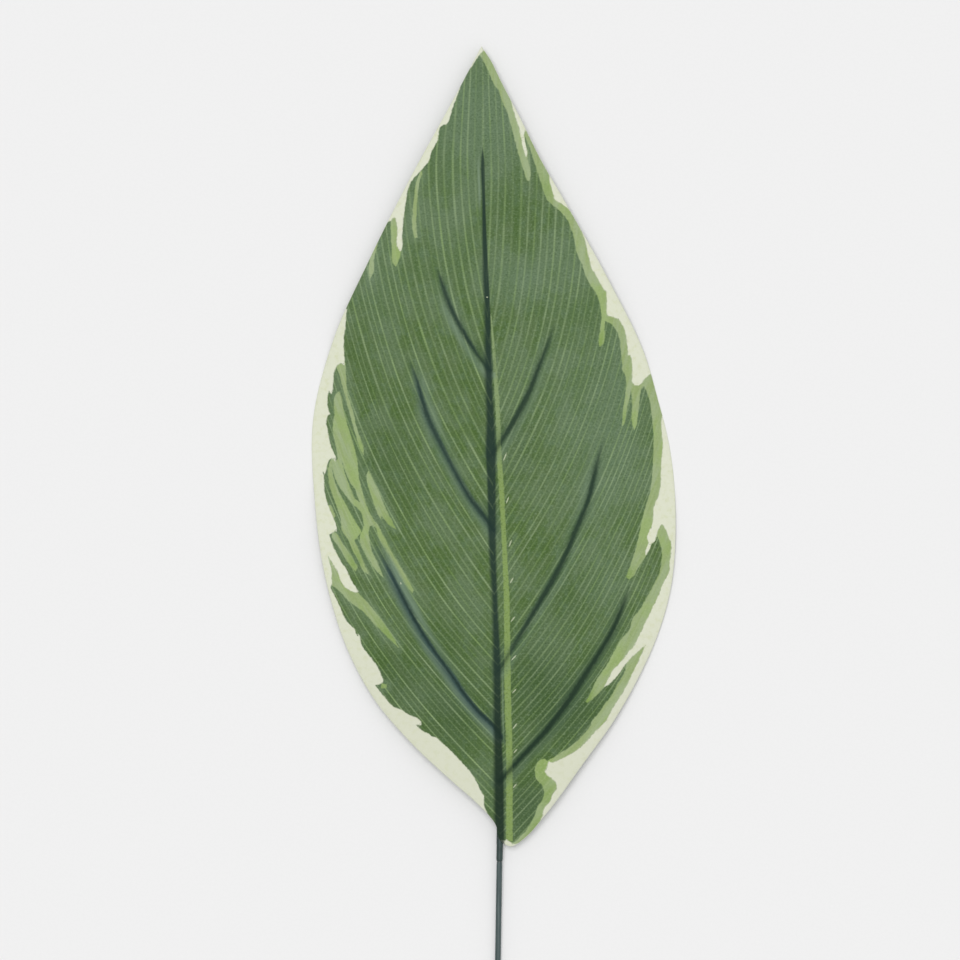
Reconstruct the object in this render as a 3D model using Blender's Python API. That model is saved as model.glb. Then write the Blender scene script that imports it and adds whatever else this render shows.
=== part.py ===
"""Artificial variegated hosta leaf on a wired stem, lying face up.

A woven cloth blade is bonded to a moulded plastic frame of one midrib and six side ribs. The frame ends in a
socket, which holds the steel wire of a plastic-covered stem.

The constants are in millimetres, in the leaf's own frame: +X to the right, +Y from the stem to the tip and
+Z up, with y = 0 where the blade's left edge meets the stem. The meshes are in metres, and an empty moves
them so that the origin is under the middle of the whole part.
"""
import math

import bmesh
import bpy
import numpy as np
from mathutils import Vector
from mathutils.geometry import delaunay_2d_cdt

MM = 0.001

# Whole part
TOTAL_LENGTH = 500.0
TIP = (-6.8, 286.5)
FIT_GAP = 0.3               # between pieces that are bonded or pushed together

# Blade: its edge, from the tip down the left side, round the foot and up the right side to the tip
EDGE = [
    TIP, (-17.0, 267.2), (-33.0, 238.0), (-47.7, 208.8), (-60.8, 179.6), (-68.2, 150.4), (-67.6, 121.2),
    (-63.5, 92.0), (-53.9, 62.8), (-45.6, 48.2), (-33.2, 33.6), (-17.7, 19.0), (-9.4, 11.7), (-3.9, 6.1),
    (-1.4, 2.5), (-0.6, -1.8), (1.3, -3.9), (4.4, -5.0), (7.0, -3.5), (9.9, -1.1), (15.9, 5.8),
    (31.1, 26.3), (41.6, 40.9), (50.0, 55.5), (56.8, 70.1), (61.4, 84.7), (64.1, 113.9), (61.4, 143.1),
    (57.7, 157.7), (53.5, 172.3), (39.5, 201.5), (23.2, 230.7), (14.8, 245.3), (7.5, 260.0), (0.0, 274.5),
    (-3.6, 281.8), TIP,
]
BLADE_THICKNESS = 0.7

# Blade's height over the midrib, as (y, z), and how it falls away to both sides
ARCH = [(-6.0, 5.0), (30.0, 7.3), (80.0, 9.9), (120.0, 10.3), (165.0, 9.1), (225.0, 6.6), (290.0, 3.8)]
HALF_WIDTH_LEFT = 64.0
HALF_WIDTH_RIGHT = 62.5
DROOP = 8.7
DROOP_POWER = 1.9
WAVE_HEIGHT = 1.0           # of the margin's slow waves
WAVE_LENGTH = 96.0
WAVE_TROUGH = 152.0         # where both margins reach the surface, past the centre of weight
WAVE_POWER = 2.5

# The cloth sinks along each rib: a wide soft valley with a narrow crease in its middle
VALLEY_DEPTH = 0.55
VALLEY_WIDTH = 9.0
CREASE_DEPTH = 0.35
CREASE_WIDTH = 2.2

# Ribs, each from its root to its end, as (x, y)
MIDRIB = [
    (0.1, -1.6), (0.0, 11.7), (-0.4, 33.6), (-0.6, 55.5), (-2.0, 84.7), (-2.6, 128.5), (-3.2, 152.0),
    (-3.7, 172.3), (-4.9, 201.5), (-5.8, 222.0), (-6.4, 249.0),
]
SIDE_RIBS = [
    [(-3.6, 169.2), (-6.6, 173.0), (-11.7, 180.3), (-18.3, 192.0), (-23.0, 204.8)],
    [(-2.5, 110.4), (-4.6, 113.7), (-11.7, 123.0), (-19.7, 138.7), (-26.6, 154.8), (-33.0, 171.9)],
    [(-0.5, 35.0), (-2.6, 38.0), (-8.0, 43.4), (-21.9, 63.5), (-33.6, 81.8), (-45.3, 104.8)],
    [(-2.9, 137.6), (4.4, 150.0), (12.0, 165.0), (16.4, 175.2), (18.8, 182.5)],
    [(-1.0, 59.6), (10.2, 78.5), (22.6, 100.7), (27.0, 111.3), (31.4, 121.2), (36.5, 138.7)],
    [(-0.2, 18.8), (6.6, 26.3), (17.5, 38.7), (29.6, 56.2), (40.5, 73.7), (46.4, 88.3)],
]
MIDRIB_HALF_WIDTH = (1.35, 0.45)    # at its root and at its end
MIDRIB_DEPTH = (2.3, 0.7)
SIDE_RIB_HALF_WIDTH = (0.85, 0.4)
SIDE_RIB_DEPTH = (1.25, 0.5)
SIDE_RIB_RECESS = 0.06              # keeps the faces of joined ribs out of one plane
# A rib's cross-section, as shares of its half width and depth: flat on the cloth, rounded below
RIB_SECTION = [(-1.0, 0.0), (0.0, 0.0), (1.0, 0.0), (0.85, 0.55), (0.35, 1.0), (-0.35, 1.0), (-0.85, 0.55)]

# Socket, stem cover and wire
SOCKET_RADIUS = 1.25
SOCKET_START = -10.6
SOCKET_END = 6.0
BORE_RADIUS = 0.78
BORE_END = 4.0
COVER_RADIUS = 1.08
WIRE_RADIUS = 0.5
STEM_SIDES = 12
WIRE_SIDES = 10
# The stem's line seen from above, as (x, y): nearly straight, leaning a little to the left
STEM_LINE = [(-3.4, -215.0), (-2.1, -125.0), (-1.0, -60.0), (-0.2, -10.6), (0.1, 6.0)]
STEM_LIFT_START = -72.0             # before this the stem lies on the surface

# Mesh spacing
EDGE_STEP = 4.6
RIB_STEP = 4.5
LATTICE_STEP = 7.2
RIB_STRIPS = (1.3, -1.3, 3.2, -3.2)     # to both sides of a rib
EDGE_STRIP = 2.6                        # inside the edge
STRIP_CLEARANCE = 1.05
LATTICE_CLEARANCE = 3.6
STEM_STEP = 9.0


def smooth(knots, values, at):
    """Values at the places asked for, on a smooth curve through the given ones."""
    knots = np.asarray(knots, float)
    values = np.asarray(values, float)
    at = np.clip(np.asarray(at, float), knots[0], knots[-1])
    slopes = np.gradient(values, knots, axis=0)
    k = np.clip(np.searchsorted(knots, at, side="right") - 1, 0, len(knots) - 2)
    span = knots[k + 1] - knots[k]
    t = (at - knots[k]) / span
    if values.ndim == 2:
        t = t[:, None]
        span = span[:, None]
    start = (1 + 2 * t) * (1 - t) ** 2 * values[k] + t * (1 - t) ** 2 * span * slopes[k]
    end = t ** 2 * (3 - 2 * t) * values[k + 1] - t ** 2 * (1 - t) * span * slopes[k + 1]
    return start + end


def curve_through(points, step):
    """Points about a step apart on a smooth curve through the given points."""
    points = np.asarray(points, float)
    chords = np.linalg.norm(np.diff(points, axis=0), axis=1)
    along = np.concatenate([[0.0], np.cumsum(chords)])
    count = max(2, round(along[-1] / step))
    return smooth(along, points, np.linspace(0.0, along[-1], count + 1))


def directions(points):
    """Unit directions along a line of points."""
    change = np.gradient(points, axis=0)
    return change / np.linalg.norm(change, axis=1)[:, None]


def beside(line, offset):
    """A line of points moved sideways, to its left where the offset is positive."""
    x, y = directions(line).T
    return line + np.column_stack([-y, x]) * np.reshape(offset, (-1, 1))


def distance_to_line(x, y, line):
    """Distance from each place to a line of points."""
    start = line[:-1]
    run = line[1:] - start
    away_x = x[:, None] - start[:, 0]
    away_y = y[:, None] - start[:, 1]
    share = (away_x * run[:, 0] + away_y * run[:, 1]) / (run ** 2).sum(axis=1)
    share = np.clip(share, 0.0, 1.0)
    return np.hypot(away_x - share * run[:, 0], away_y - share * run[:, 1]).min(axis=1)


RIB_LINES = [curve_through(route, RIB_STEP) for route in [MIDRIB] + SIDE_RIBS]


def underside(places):
    """Height of the blade's underside. Where the margins would pass below the surface they lie flat on it."""
    x, y = np.asarray(places, float).T
    across = x - smooth([p[1] for p in MIDRIB], [p[0] for p in MIDRIB], y)
    share = np.where(across < 0, -across / HALF_WIDTH_LEFT, across / HALF_WIDTH_RIGHT)
    arch = smooth([p[0] for p in ARCH], [p[1] for p in ARCH], y)
    wave = WAVE_HEIGHT * share ** WAVE_POWER * np.cos(2 * math.pi * (y - WAVE_TROUGH) / WAVE_LENGTH)
    to_rib = np.min([distance_to_line(x, y, line) for line in RIB_LINES], axis=0)
    valley = VALLEY_DEPTH * np.exp(-(to_rib / VALLEY_WIDTH) ** 2)
    crease = CREASE_DEPTH * np.exp(-(to_rib / CREASE_WIDTH) ** 2)
    height = arch - DROOP * share ** DROOP_POWER - wave - valley - crease - BLADE_THICKNESS
    return np.maximum(height, 0.0)


def inside_edge(points, edge):
    """Which points lie inside the closed edge."""
    inside = np.zeros(len(points), bool)
    x, y = points[:, 0], points[:, 1]
    for (ax, ay), (bx, by) in zip(edge, np.roll(edge, -1, axis=0)):
        if ay == by:
            continue
        crosses = (ay > y) != (by > y)
        inside ^= crosses & (x < ax + (y - ay) * (bx - ax) / (by - ay))
    return inside


def add_apart(kept, more, clearance):
    """The kept points, and each further one that is clear of those before it."""
    for point in more:
        if np.min(np.hypot(*(kept - point).T)) >= clearance:
            kept = np.vstack([kept, point])
    return kept


def blade_points(edge):
    """Places on the blade: its edge, strips along the edge and the ribs, and an even lattice between."""
    strips = [beside(edge, EDGE_STRIP)]
    for line in RIB_LINES:
        strips.append(line)
        strips += [beside(line, offset) for offset in RIB_STRIPS]
    strips = np.vstack(strips)
    strips = strips[inside_edge(strips, edge)]
    points = add_apart(edge, strips, STRIP_CLEARANCE)
    low, high = edge.min(axis=0), edge.max(axis=0)
    lattice = []
    for row, y in enumerate(np.arange(low[1], high[1], LATTICE_STEP * math.sqrt(0.75))):
        shift = LATTICE_STEP / 2 * (row % 2)
        lattice += [(x, y) for x in np.arange(low[0] + shift, high[0], LATTICE_STEP)]
    lattice = np.array(lattice)
    return add_apart(points, lattice[inside_edge(lattice, edge)], LATTICE_CLEARANCE)


def material(name, colour, roughness, metallic=0.0):
    mat = bpy.data.materials.new(name)
    mat.use_nodes = True
    shader = mat.node_tree.nodes["Principled BSDF"]
    shader.inputs["Base Color"].default_value = (*colour, 1.0)
    shader.inputs["Roughness"].default_value = roughness
    shader.inputs["Metallic"].default_value = metallic
    return mat


def new_object(name, vertices, faces, collection=None):
    """An object from points in millimetres, with its faces turned outwards."""
    mesh = bpy.data.meshes.new(name)
    mesh.from_pydata([Vector(v) * MM for v in vertices], [], faces)
    bm = bmesh.new()
    bm.from_mesh(mesh)
    bmesh.ops.recalc_face_normals(bm, faces=bm.faces)
    bm.to_mesh(mesh)
    bm.free()
    obj = bpy.data.objects.new(name, mesh)
    (collection or bpy.context.scene.collection).objects.link(obj)
    return obj


def finish(obj, mat, parent, sharp_angle):
    obj.data.materials.clear()
    obj.data.materials.append(mat)
    obj.data.shade_smooth()
    obj.data.set_sharp_from_angle(angle=math.radians(sharp_angle))
    obj.parent = parent


def make_blade():
    """The cloth, split into triangles alike on both faces."""
    edge = curve_through(EDGE, EDGE_STEP)[:-1]
    count = len(edge)
    places = [Vector(p) for p in blade_points(edge)]
    border = [(i, (i + 1) % count) for i in range(count)]
    flat, _, triangles, _, _, _ = delaunay_2d_cdt(places, border, [], 1, 1e-5)
    x = np.array([p.x for p in flat])
    y = np.array([p.y for p in flat])
    low = underside(flat)
    total = len(flat)
    vertices = list(zip(x, y, low + BLADE_THICKNESS)) + list(zip(x, y, low))
    faces = [tuple(t) for t in triangles]
    faces += [tuple(i + total for i in reversed(t)) for t in triangles]
    sides = [(t[k], t[(k + 1) % 3]) for t in triangles for k in range(3)]
    known = set(sides)
    for a, b in sides:
        if (b, a) not in known:
            faces.append((b, a, a + total))
            faces.append((b, a + total, b + total))
    return new_object("blade", vertices, faces)


def sweep(name, rings, collection=None):
    """A closed body through rings of points, with flat ends."""
    sides = len(rings[0])
    vertices = [p for ring in rings for p in ring]
    faces = []
    for r in range(len(rings) - 1):
        for s in range(sides):
            a = r * sides + s
            b = r * sides + (s + 1) % sides
            faces.append((a, b, b + sides, a + sides))
    faces.append(tuple(range(sides)))
    faces.append(tuple(range(len(vertices) - sides, len(vertices))))
    return new_object(name, vertices, faces, collection)


def make_rib(name, line, half_widths, depths, recess, collection):
    """One rib, whose upper face follows the cloth's underside."""
    share = np.linspace(0.0, 1.0, len(line))
    half = half_widths[0] + (half_widths[1] - half_widths[0]) * share
    depth = depths[0] + (depths[1] - depths[0]) * share
    corners = []
    for across, down in RIB_SECTION:
        places = beside(line, across * half)
        height = underside(places) - FIT_GAP - recess - down * depth
        corners.append(np.column_stack([places, height]))
    return sweep(name, list(zip(*corners)), collection)


def stem_axis(y):
    """The middle of the stem at the places asked for, as points."""
    x = smooth([p[1] for p in STEM_LINE], [p[0] for p in STEM_LINE], y)
    rest = COVER_RADIUS * math.cos(math.pi / STEM_SIDES)
    seat = underside([(0.0, BORE_END)])[0] - FIT_GAP - SOCKET_RADIUS
    share = np.clip((y - STEM_LIFT_START) / (BORE_END - STEM_LIFT_START), 0.0, None)
    return np.column_stack([x, y, rest + (seat - rest) * share ** 2])


def stem_stations(start, end):
    return np.linspace(start, end, max(2, round((end - start) / STEM_STEP)) + 1)


def round_rings(axis, radius, sides):
    """Rings round a line of points, each with a flat side down."""
    rings = []
    for point, direction in zip(axis, directions(axis)):
        side = np.cross(direction, (0.0, 0.0, 1.0))
        side /= np.linalg.norm(side)
        up = np.cross(side, direction)
        angles = (np.arange(sides) + 0.5) * 2 * math.pi / sides - math.pi / 2
        rings.append([point + radius * (math.cos(a) * side + math.sin(a) * up) for a in angles])
    return rings


def apply_boolean(obj, operation, collection):
    """Joins the collection's bodies to the object, or cuts them from it, and removes them."""
    boolean = obj.modifiers.new("boolean", "BOOLEAN")
    boolean.operation = operation
    boolean.solver = "EXACT"
    boolean.operand_type = "COLLECTION"
    boolean.collection = collection
    graph = bpy.context.evaluated_depsgraph_get()
    result = bpy.data.meshes.new_from_object(obj.evaluated_get(graph))
    obj.modifiers.remove(boolean)
    old = obj.data
    obj.data = result
    bpy.data.meshes.remove(old)
    for part in list(collection.objects):
        bpy.data.objects.remove(part)
    bpy.data.collections.remove(collection)


def tool_collection(name):
    collection = bpy.data.collections.new(name)
    bpy.context.scene.collection.children.link(collection)
    return collection


def make_rib_frame():
    """Midrib, side ribs and socket as one moulding, with a blind bore for the wire."""
    frame = make_rib("rib_frame", RIB_LINES[0], MIDRIB_HALF_WIDTH, MIDRIB_DEPTH, 0.0, None)
    joined = tool_collection("joined_ribs")
    for number, line in enumerate(RIB_LINES[1:], start=1):
        make_rib(f"side_rib_{number}", line, SIDE_RIB_HALF_WIDTH, SIDE_RIB_DEPTH, SIDE_RIB_RECESS, joined)
    socket = stem_axis(stem_stations(SOCKET_START, SOCKET_END))
    sweep("socket", round_rings(socket, SOCKET_RADIUS, STEM_SIDES), joined)
    apply_boolean(frame, "UNION", joined)
    cut = tool_collection("cut_bore")
    bore = stem_axis(stem_stations(SOCKET_START - SOCKET_RADIUS, BORE_END))
    sweep("bore", round_rings(bore, BORE_RADIUS, WIRE_SIDES), cut)
    apply_boolean(frame, "DIFFERENCE", cut)
    return frame


def make_stem_cover(start):
    """The plastic cover: a tube that lies on the surface and rises to the socket."""
    axis = stem_axis(stem_stations(start, SOCKET_START - FIT_GAP))
    outer = round_rings(axis, COVER_RADIUS, STEM_SIDES)
    inner = round_rings(axis, BORE_RADIUS, STEM_SIDES)
    vertices = [p for ring in outer + inner for p in ring]
    shift = len(outer) * STEM_SIDES
    last = (len(outer) - 1) * STEM_SIDES
    faces = []
    for s in range(STEM_SIDES):
        t = (s + 1) % STEM_SIDES
        for r in range(len(outer) - 1):
            a = r * STEM_SIDES
            b = a + STEM_SIDES
            faces.append((a + s, a + t, b + t, b + s))
            faces.append((shift + a + t, shift + a + s, shift + b + s, shift + b + t))
        faces.append((t, s, shift + s, shift + t))
        faces.append((last + s, last + t, shift + last + t, shift + last + s))
    return new_object("stem_cover", vertices, faces)


def make_stem_wire(start):
    """The steel wire, from the stem's cut end to just short of the bore's end."""
    axis = stem_axis(stem_stations(start, BORE_END - FIT_GAP))
    return sweep("stem_wire", round_rings(axis, WIRE_RADIUS, WIRE_SIDES))


def main():
    for old in list(bpy.data.objects):
        bpy.data.objects.remove(old)
    stem_start = TIP[1] - TOTAL_LENGTH
    edge = curve_through(EDGE, EDGE_STEP)
    middle_x = (edge[:, 0].min() + edge[:, 0].max()) / 2
    middle_y = (stem_start + TIP[1]) / 2
    origin = bpy.data.objects.new("leaf_origin", None)
    origin.location = (-middle_x * MM, -middle_y * MM, 0.0)
    bpy.context.scene.collection.objects.link(origin)

    cloth = material("printed_cloth", (0.11, 0.20, 0.09), 0.75)
    frame_plastic = material("rib_plastic", (0.03, 0.07, 0.06), 0.45)
    stem_plastic = material("stem_plastic", (0.09, 0.14, 0.14), 0.5)
    steel = material("steel_wire", (0.55, 0.55, 0.55), 0.35, 1.0)
    finish(make_blade(), cloth, origin, 40)
    finish(make_rib_frame(), frame_plastic, origin, 50)
    finish(make_stem_cover(stem_start), stem_plastic, origin, 40)
    finish(make_stem_wire(stem_start), steel, origin, 45)


main()
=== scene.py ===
"""Artificial variegated hosta leaf on a wired stem, lying face up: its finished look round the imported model.

Lengths are in millimetres in the leaf's own frame, as in part.py: +X to the right, +Y from the stem to the
tip, +Z up, with y = 0 where the blade's left edge meets the stem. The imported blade's box gives the move from
there to the model's frame. Only the print's outlines are in pixels of the photo.
"""

import math

import bpy
import numpy as np
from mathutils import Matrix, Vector, noise
from mathutils.geometry import delaunay_2d_cdt
from mathutils.kdtree import KDTree


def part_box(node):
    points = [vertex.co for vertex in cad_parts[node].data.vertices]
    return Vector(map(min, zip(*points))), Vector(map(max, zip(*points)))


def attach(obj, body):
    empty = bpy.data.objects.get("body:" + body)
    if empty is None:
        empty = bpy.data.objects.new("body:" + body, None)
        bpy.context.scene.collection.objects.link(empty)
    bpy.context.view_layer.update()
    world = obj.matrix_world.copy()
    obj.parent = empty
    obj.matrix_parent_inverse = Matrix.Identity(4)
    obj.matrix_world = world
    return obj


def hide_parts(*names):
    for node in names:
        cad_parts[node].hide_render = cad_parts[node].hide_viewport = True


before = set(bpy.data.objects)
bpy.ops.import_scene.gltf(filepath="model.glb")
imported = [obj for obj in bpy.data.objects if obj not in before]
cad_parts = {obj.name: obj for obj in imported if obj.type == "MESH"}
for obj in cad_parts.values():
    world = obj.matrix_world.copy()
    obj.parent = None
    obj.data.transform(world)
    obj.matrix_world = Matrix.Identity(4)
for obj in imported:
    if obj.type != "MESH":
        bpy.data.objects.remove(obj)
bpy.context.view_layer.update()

MM = 0.001
BODY = "root"

# Blade: its edge, from the tip down the left side, round the foot and up the right side to the tip
TIP = (-6.8, 286.5)
EDGE = [
    TIP, (-17.0, 267.2), (-33.0, 238.0), (-47.7, 208.8), (-60.8, 179.6), (-68.2, 150.4), (-67.6, 121.2),
    (-63.5, 92.0), (-53.9, 62.8), (-45.6, 48.2), (-33.2, 33.6), (-17.7, 19.0), (-9.4, 11.7), (-3.9, 6.1),
    (-1.4, 2.5), (-0.6, -1.8), (1.3, -3.9), (4.4, -5.0), (7.0, -3.5), (9.9, -1.1), (15.9, 5.8),
    (31.1, 26.3), (41.6, 40.9), (50.0, 55.5), (56.8, 70.1), (61.4, 84.7), (64.1, 113.9), (61.4, 143.1),
    (57.7, 157.7), (53.5, 172.3), (39.5, 201.5), (23.2, 230.7), (14.8, 245.3), (7.5, 260.0), (0.0, 274.5),
    (-3.6, 281.8), TIP,
]

# Blade's height over the midrib, as (y, z), and how it falls away to both sides
ARCH = [(-6.0, 5.0), (30.0, 7.3), (80.0, 9.9), (120.0, 10.3), (165.0, 9.1), (225.0, 6.6), (290.0, 3.8)]
CAD_THICKNESS = 0.7
HALF_WIDTH_LEFT = 64.0
HALF_WIDTH_RIGHT = 62.5
DROOP = 8.7
DROOP_POWER = 1.9
WAVE_HEIGHT = 1.0
WAVE_LENGTH = 96.0
WAVE_TROUGH = 152.0
WAVE_POWER = 2.5
VALLEY_DEPTH = 0.55
VALLEY_WIDTH = 9.0
CREASE_DEPTH = 0.35
CREASE_WIDTH = 2.2

# Ribs, each from its root to its end, as (x, y)
MIDRIB = [
    (0.1, -1.6), (0.0, 11.7), (-0.4, 33.6), (-0.6, 55.5), (-2.0, 84.7), (-2.6, 128.5), (-3.2, 152.0),
    (-3.7, 172.3), (-4.9, 201.5), (-5.8, 222.0), (-6.4, 249.0),
]
SIDE_RIBS = [
    [(-3.6, 169.2), (-6.6, 173.0), (-11.7, 180.3), (-18.3, 192.0), (-23.0, 204.8)],
    [(-2.5, 110.4), (-4.6, 113.7), (-11.7, 123.0), (-19.7, 138.7), (-26.6, 154.8), (-33.0, 171.9)],
    [(-0.5, 35.0), (-2.6, 38.0), (-8.0, 43.4), (-21.9, 63.5), (-33.6, 81.8), (-45.3, 104.8)],
    [(-2.9, 137.6), (4.4, 150.0), (12.0, 165.0), (16.4, 175.2), (18.8, 182.5)],
    [(-1.0, 59.6), (10.2, 78.5), (22.6, 100.7), (27.0, 111.3), (31.4, 121.2), (36.5, 138.7)],
    [(-0.2, 18.8), (6.6, 26.3), (17.5, 38.7), (29.6, 56.2), (40.5, 73.7), (46.4, 88.3)],
]
LEFT_RIBS = 3                   # the side ribs on the left come first
MIDRIB_HALF_WIDTH = (1.35, 0.45)    # at its root and at its end
MIDRIB_DEPTH = (2.3, 0.7)
SIDE_RIB_HALF_WIDTH = (0.85, 0.4)
SIDE_RIB_DEPTH = (1.25, 0.5)

# Socket, stem cover and wire
SOCKET_PROFILE = [(-10.6, 0.98), (-10.35, 1.12), (-9.8, 1.18), (-4.4, 1.18), (-3.9, 1.25), (-1.2, 1.25),
                  (3.0, 1.22), (5.4, 1.05), (6.0, 0.7)]     # radius at each y
SOCKET_RADIUS = 1.25
SOCKET_SEAT = 4.0               # y where the socket's height is set
COVER_RADIUS = 1.04
COVER_BORE = 0.6
WIRE_RADIUS = 0.55
STEM_LINE = [(-3.4, -215.0), (-2.1, -125.0), (-1.0, -60.0), (-0.2, -10.6), (0.1, 6.0)]
STEM_LIFT_START = -72.0
COVER_START = -213.5
COVER_END = -10.7
WIRE_START = -213.4
WIRE_END = 3.5
FIT_GAP = 0.3

# Cloth
CLOTH_THICKNESS = 0.36
RIM_WIDTH = 0.12                # rounding of the cut edge
RIM_LEVELS = (0.7, 0.3)         # shares of the thickness at which the rounded edge is widest
CLOTH_RIPPLE = 0.14             # height of the cloth's small undulations
RIPPLE_LENGTH = 21.0
RIPPLE_DRAW = 0.4               # which slice of the noise the undulations take
RIPPLE_LIFT = (0.5, 3.0)        # height where they start, and over how much height they grow
RIPPLE_CLEAR = (2.0, 6.0)       # distance from a rib where they start, and over what distance they grow
FLOOR_SOFTENING = 0.25          # how gently the margins come to rest on the surface
EDGE_STEP = 1.0
RIB_STEP = 1.2
PRINT_STEP = 0.7
LATTICE_STEP = 1.15
LATTICE_ROW = LATTICE_STEP * math.sqrt(0.75)    # rows of even triangles
STRIP_OFFSETS = (0.9, -0.9, 1.9, -1.9)
POINT_CLEARANCE = 0.55
MERGE_GAP = 1e-5                # points closer than this become one

# Printed veins: how far a vein climbs towards the margin and how much the veins crowd, as (y, value)
VEIN_SPACING = 2.65
VEIN_CLIMB = [
    (-20.0, -36.0), (20.0, 2.0), (60.0, 40.0), (77.0, 54.5), (107.0, 76.0), (136.0, 94.0), (165.0, 108.0),
    (180.0, 113.0), (194.0, 116.4), (209.0, 118.6), (223.0, 119.8), (290.0, 120.5),
]
VEIN_CROWD = [(-6.0, 1.0), (180.0, 1.0), (223.0, 0.95), (245.0, 0.95), (262.0, 1.05), (287.0, 1.25)]
VEIN_MARGIN_CROWD = 0.2
VEIN_START = 200.0              # keeps the veins' values above zero on the right and below it on the left
VEIN_DRIFT = 0.9                # how far a vein strays from its even place
# y in the model's frame over which the cream's duller part ends, the leaf's lower part gives way to the
# upper, the stripe turns paler, and the midrib's shadow loses its deepest shade
FOOT_PART = (0.0, 60.0)
UPPER_PART = (142.0, 168.0)
STRIPE_PALING = (85.0, 120.0)
MID_DEEP = (-15.0, 40.0)

# The print's outlines below were read from the photo, in its pixels. One pixel is PIXEL millimetres,
# and the leaf's own frame has its origin at PHOTO_ORIGIN.
PIXEL = 0.365
PHOTO_ORIGIN = (500, 832)

# Print: the edge between green and cream on both sides, from the tip to the foot
GREEN_LEFT = [
    (480, 54.5), (477, 59), (472, 67), (467, 73), (463.5, 79), (461, 85), (459.5, 90), (456.5, 98),
    (454, 105), (451.5, 112), (450, 118), (448.5, 122), (446.5, 124.5), (443, 126), (440, 128), (439, 131),
    (438.5, 136), (437.5, 141), (435, 146), (432, 151), (430, 158), (428, 163), (425, 166.5), (419.5, 173),
    (413.5, 179), (411, 182.5), (409, 187), (407.5, 193), (405.5, 205), (403.5, 220), (402.3, 236),
    (401.7, 249.5), (400.5, 251.5), (399, 250), (397.5, 228), (396.5, 222), (395, 218.5), (393, 218.5),
    (391, 221), (386, 224), (376, 242), (366, 261), (355.5, 281), (346, 301), (344, 308), (347, 309.5),
    (346.5, 315), (346, 322), (344, 339), (343.8, 347), (344.7, 361), (344.5, 365.5), (341, 363.5),
    (338.5, 364), (336.5, 367), (334.5, 372), (333.3, 378), (332.7, 389.5), (331.5, 393.5), (329, 390.5),
    (328, 395), (327.5, 402), (328, 408), (330, 414), (328, 415.5), (326.5, 419), (326.5, 424), (328, 431),
    (331, 446), (334, 453), (336, 459.5), (335.5, 461), (333.5, 459.5), (332, 458), (329.5, 460),
    (327.5, 464), (326.3, 470), (325, 473.5), (323, 471.5), (323.8, 476), (324.3, 488), (325.3, 495),
    (327, 501), (331.5, 513), (335.5, 522.5), (337, 528), (337, 531.5), (335, 530.5), (332.5, 533),
    (329.5, 534.5), (331, 540), (335, 549.5), (341, 561), (347, 570), (351, 579), (357, 588.5),
    (358.5, 591), (357, 592), (353.5, 591.5), (345, 586.5), (342.5, 583.5), (338.5, 573), (335, 567),
    (328.3, 556), (329.5, 561), (332, 573), (331.5, 578), (332.5, 583), (330.8, 587.5), (333, 592),
    (338.5, 603), (341, 608.5), (342.5, 613), (346, 619.5), (350, 624.5), (355.5, 630), (356, 633.5),
    (358, 636), (359, 634.5), (360.5, 637), (360.8, 641), (362.5, 646), (370, 656), (378, 667), (382, 676),
    (383.3, 680.5), (382, 682.5), (375.5, 685), (378, 688.5), (386, 698), (390, 703), (394, 706.5),
    (399, 708), (409, 714), (419, 718.5), (421.7, 721), (421, 724), (415.6, 724), (419, 727), (422, 730),
    (428, 732.5), (432, 735.5), (436, 736.5), (440, 740), (450, 749), (460, 759.5), (470, 770.5),
    (474, 776.5), (477.5, 783), (480.5, 789.5), (484, 796), (483.8, 804), (486, 809), (488, 816),
    (494, 826), (496, 834), (497.3, 841.5),
]
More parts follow.
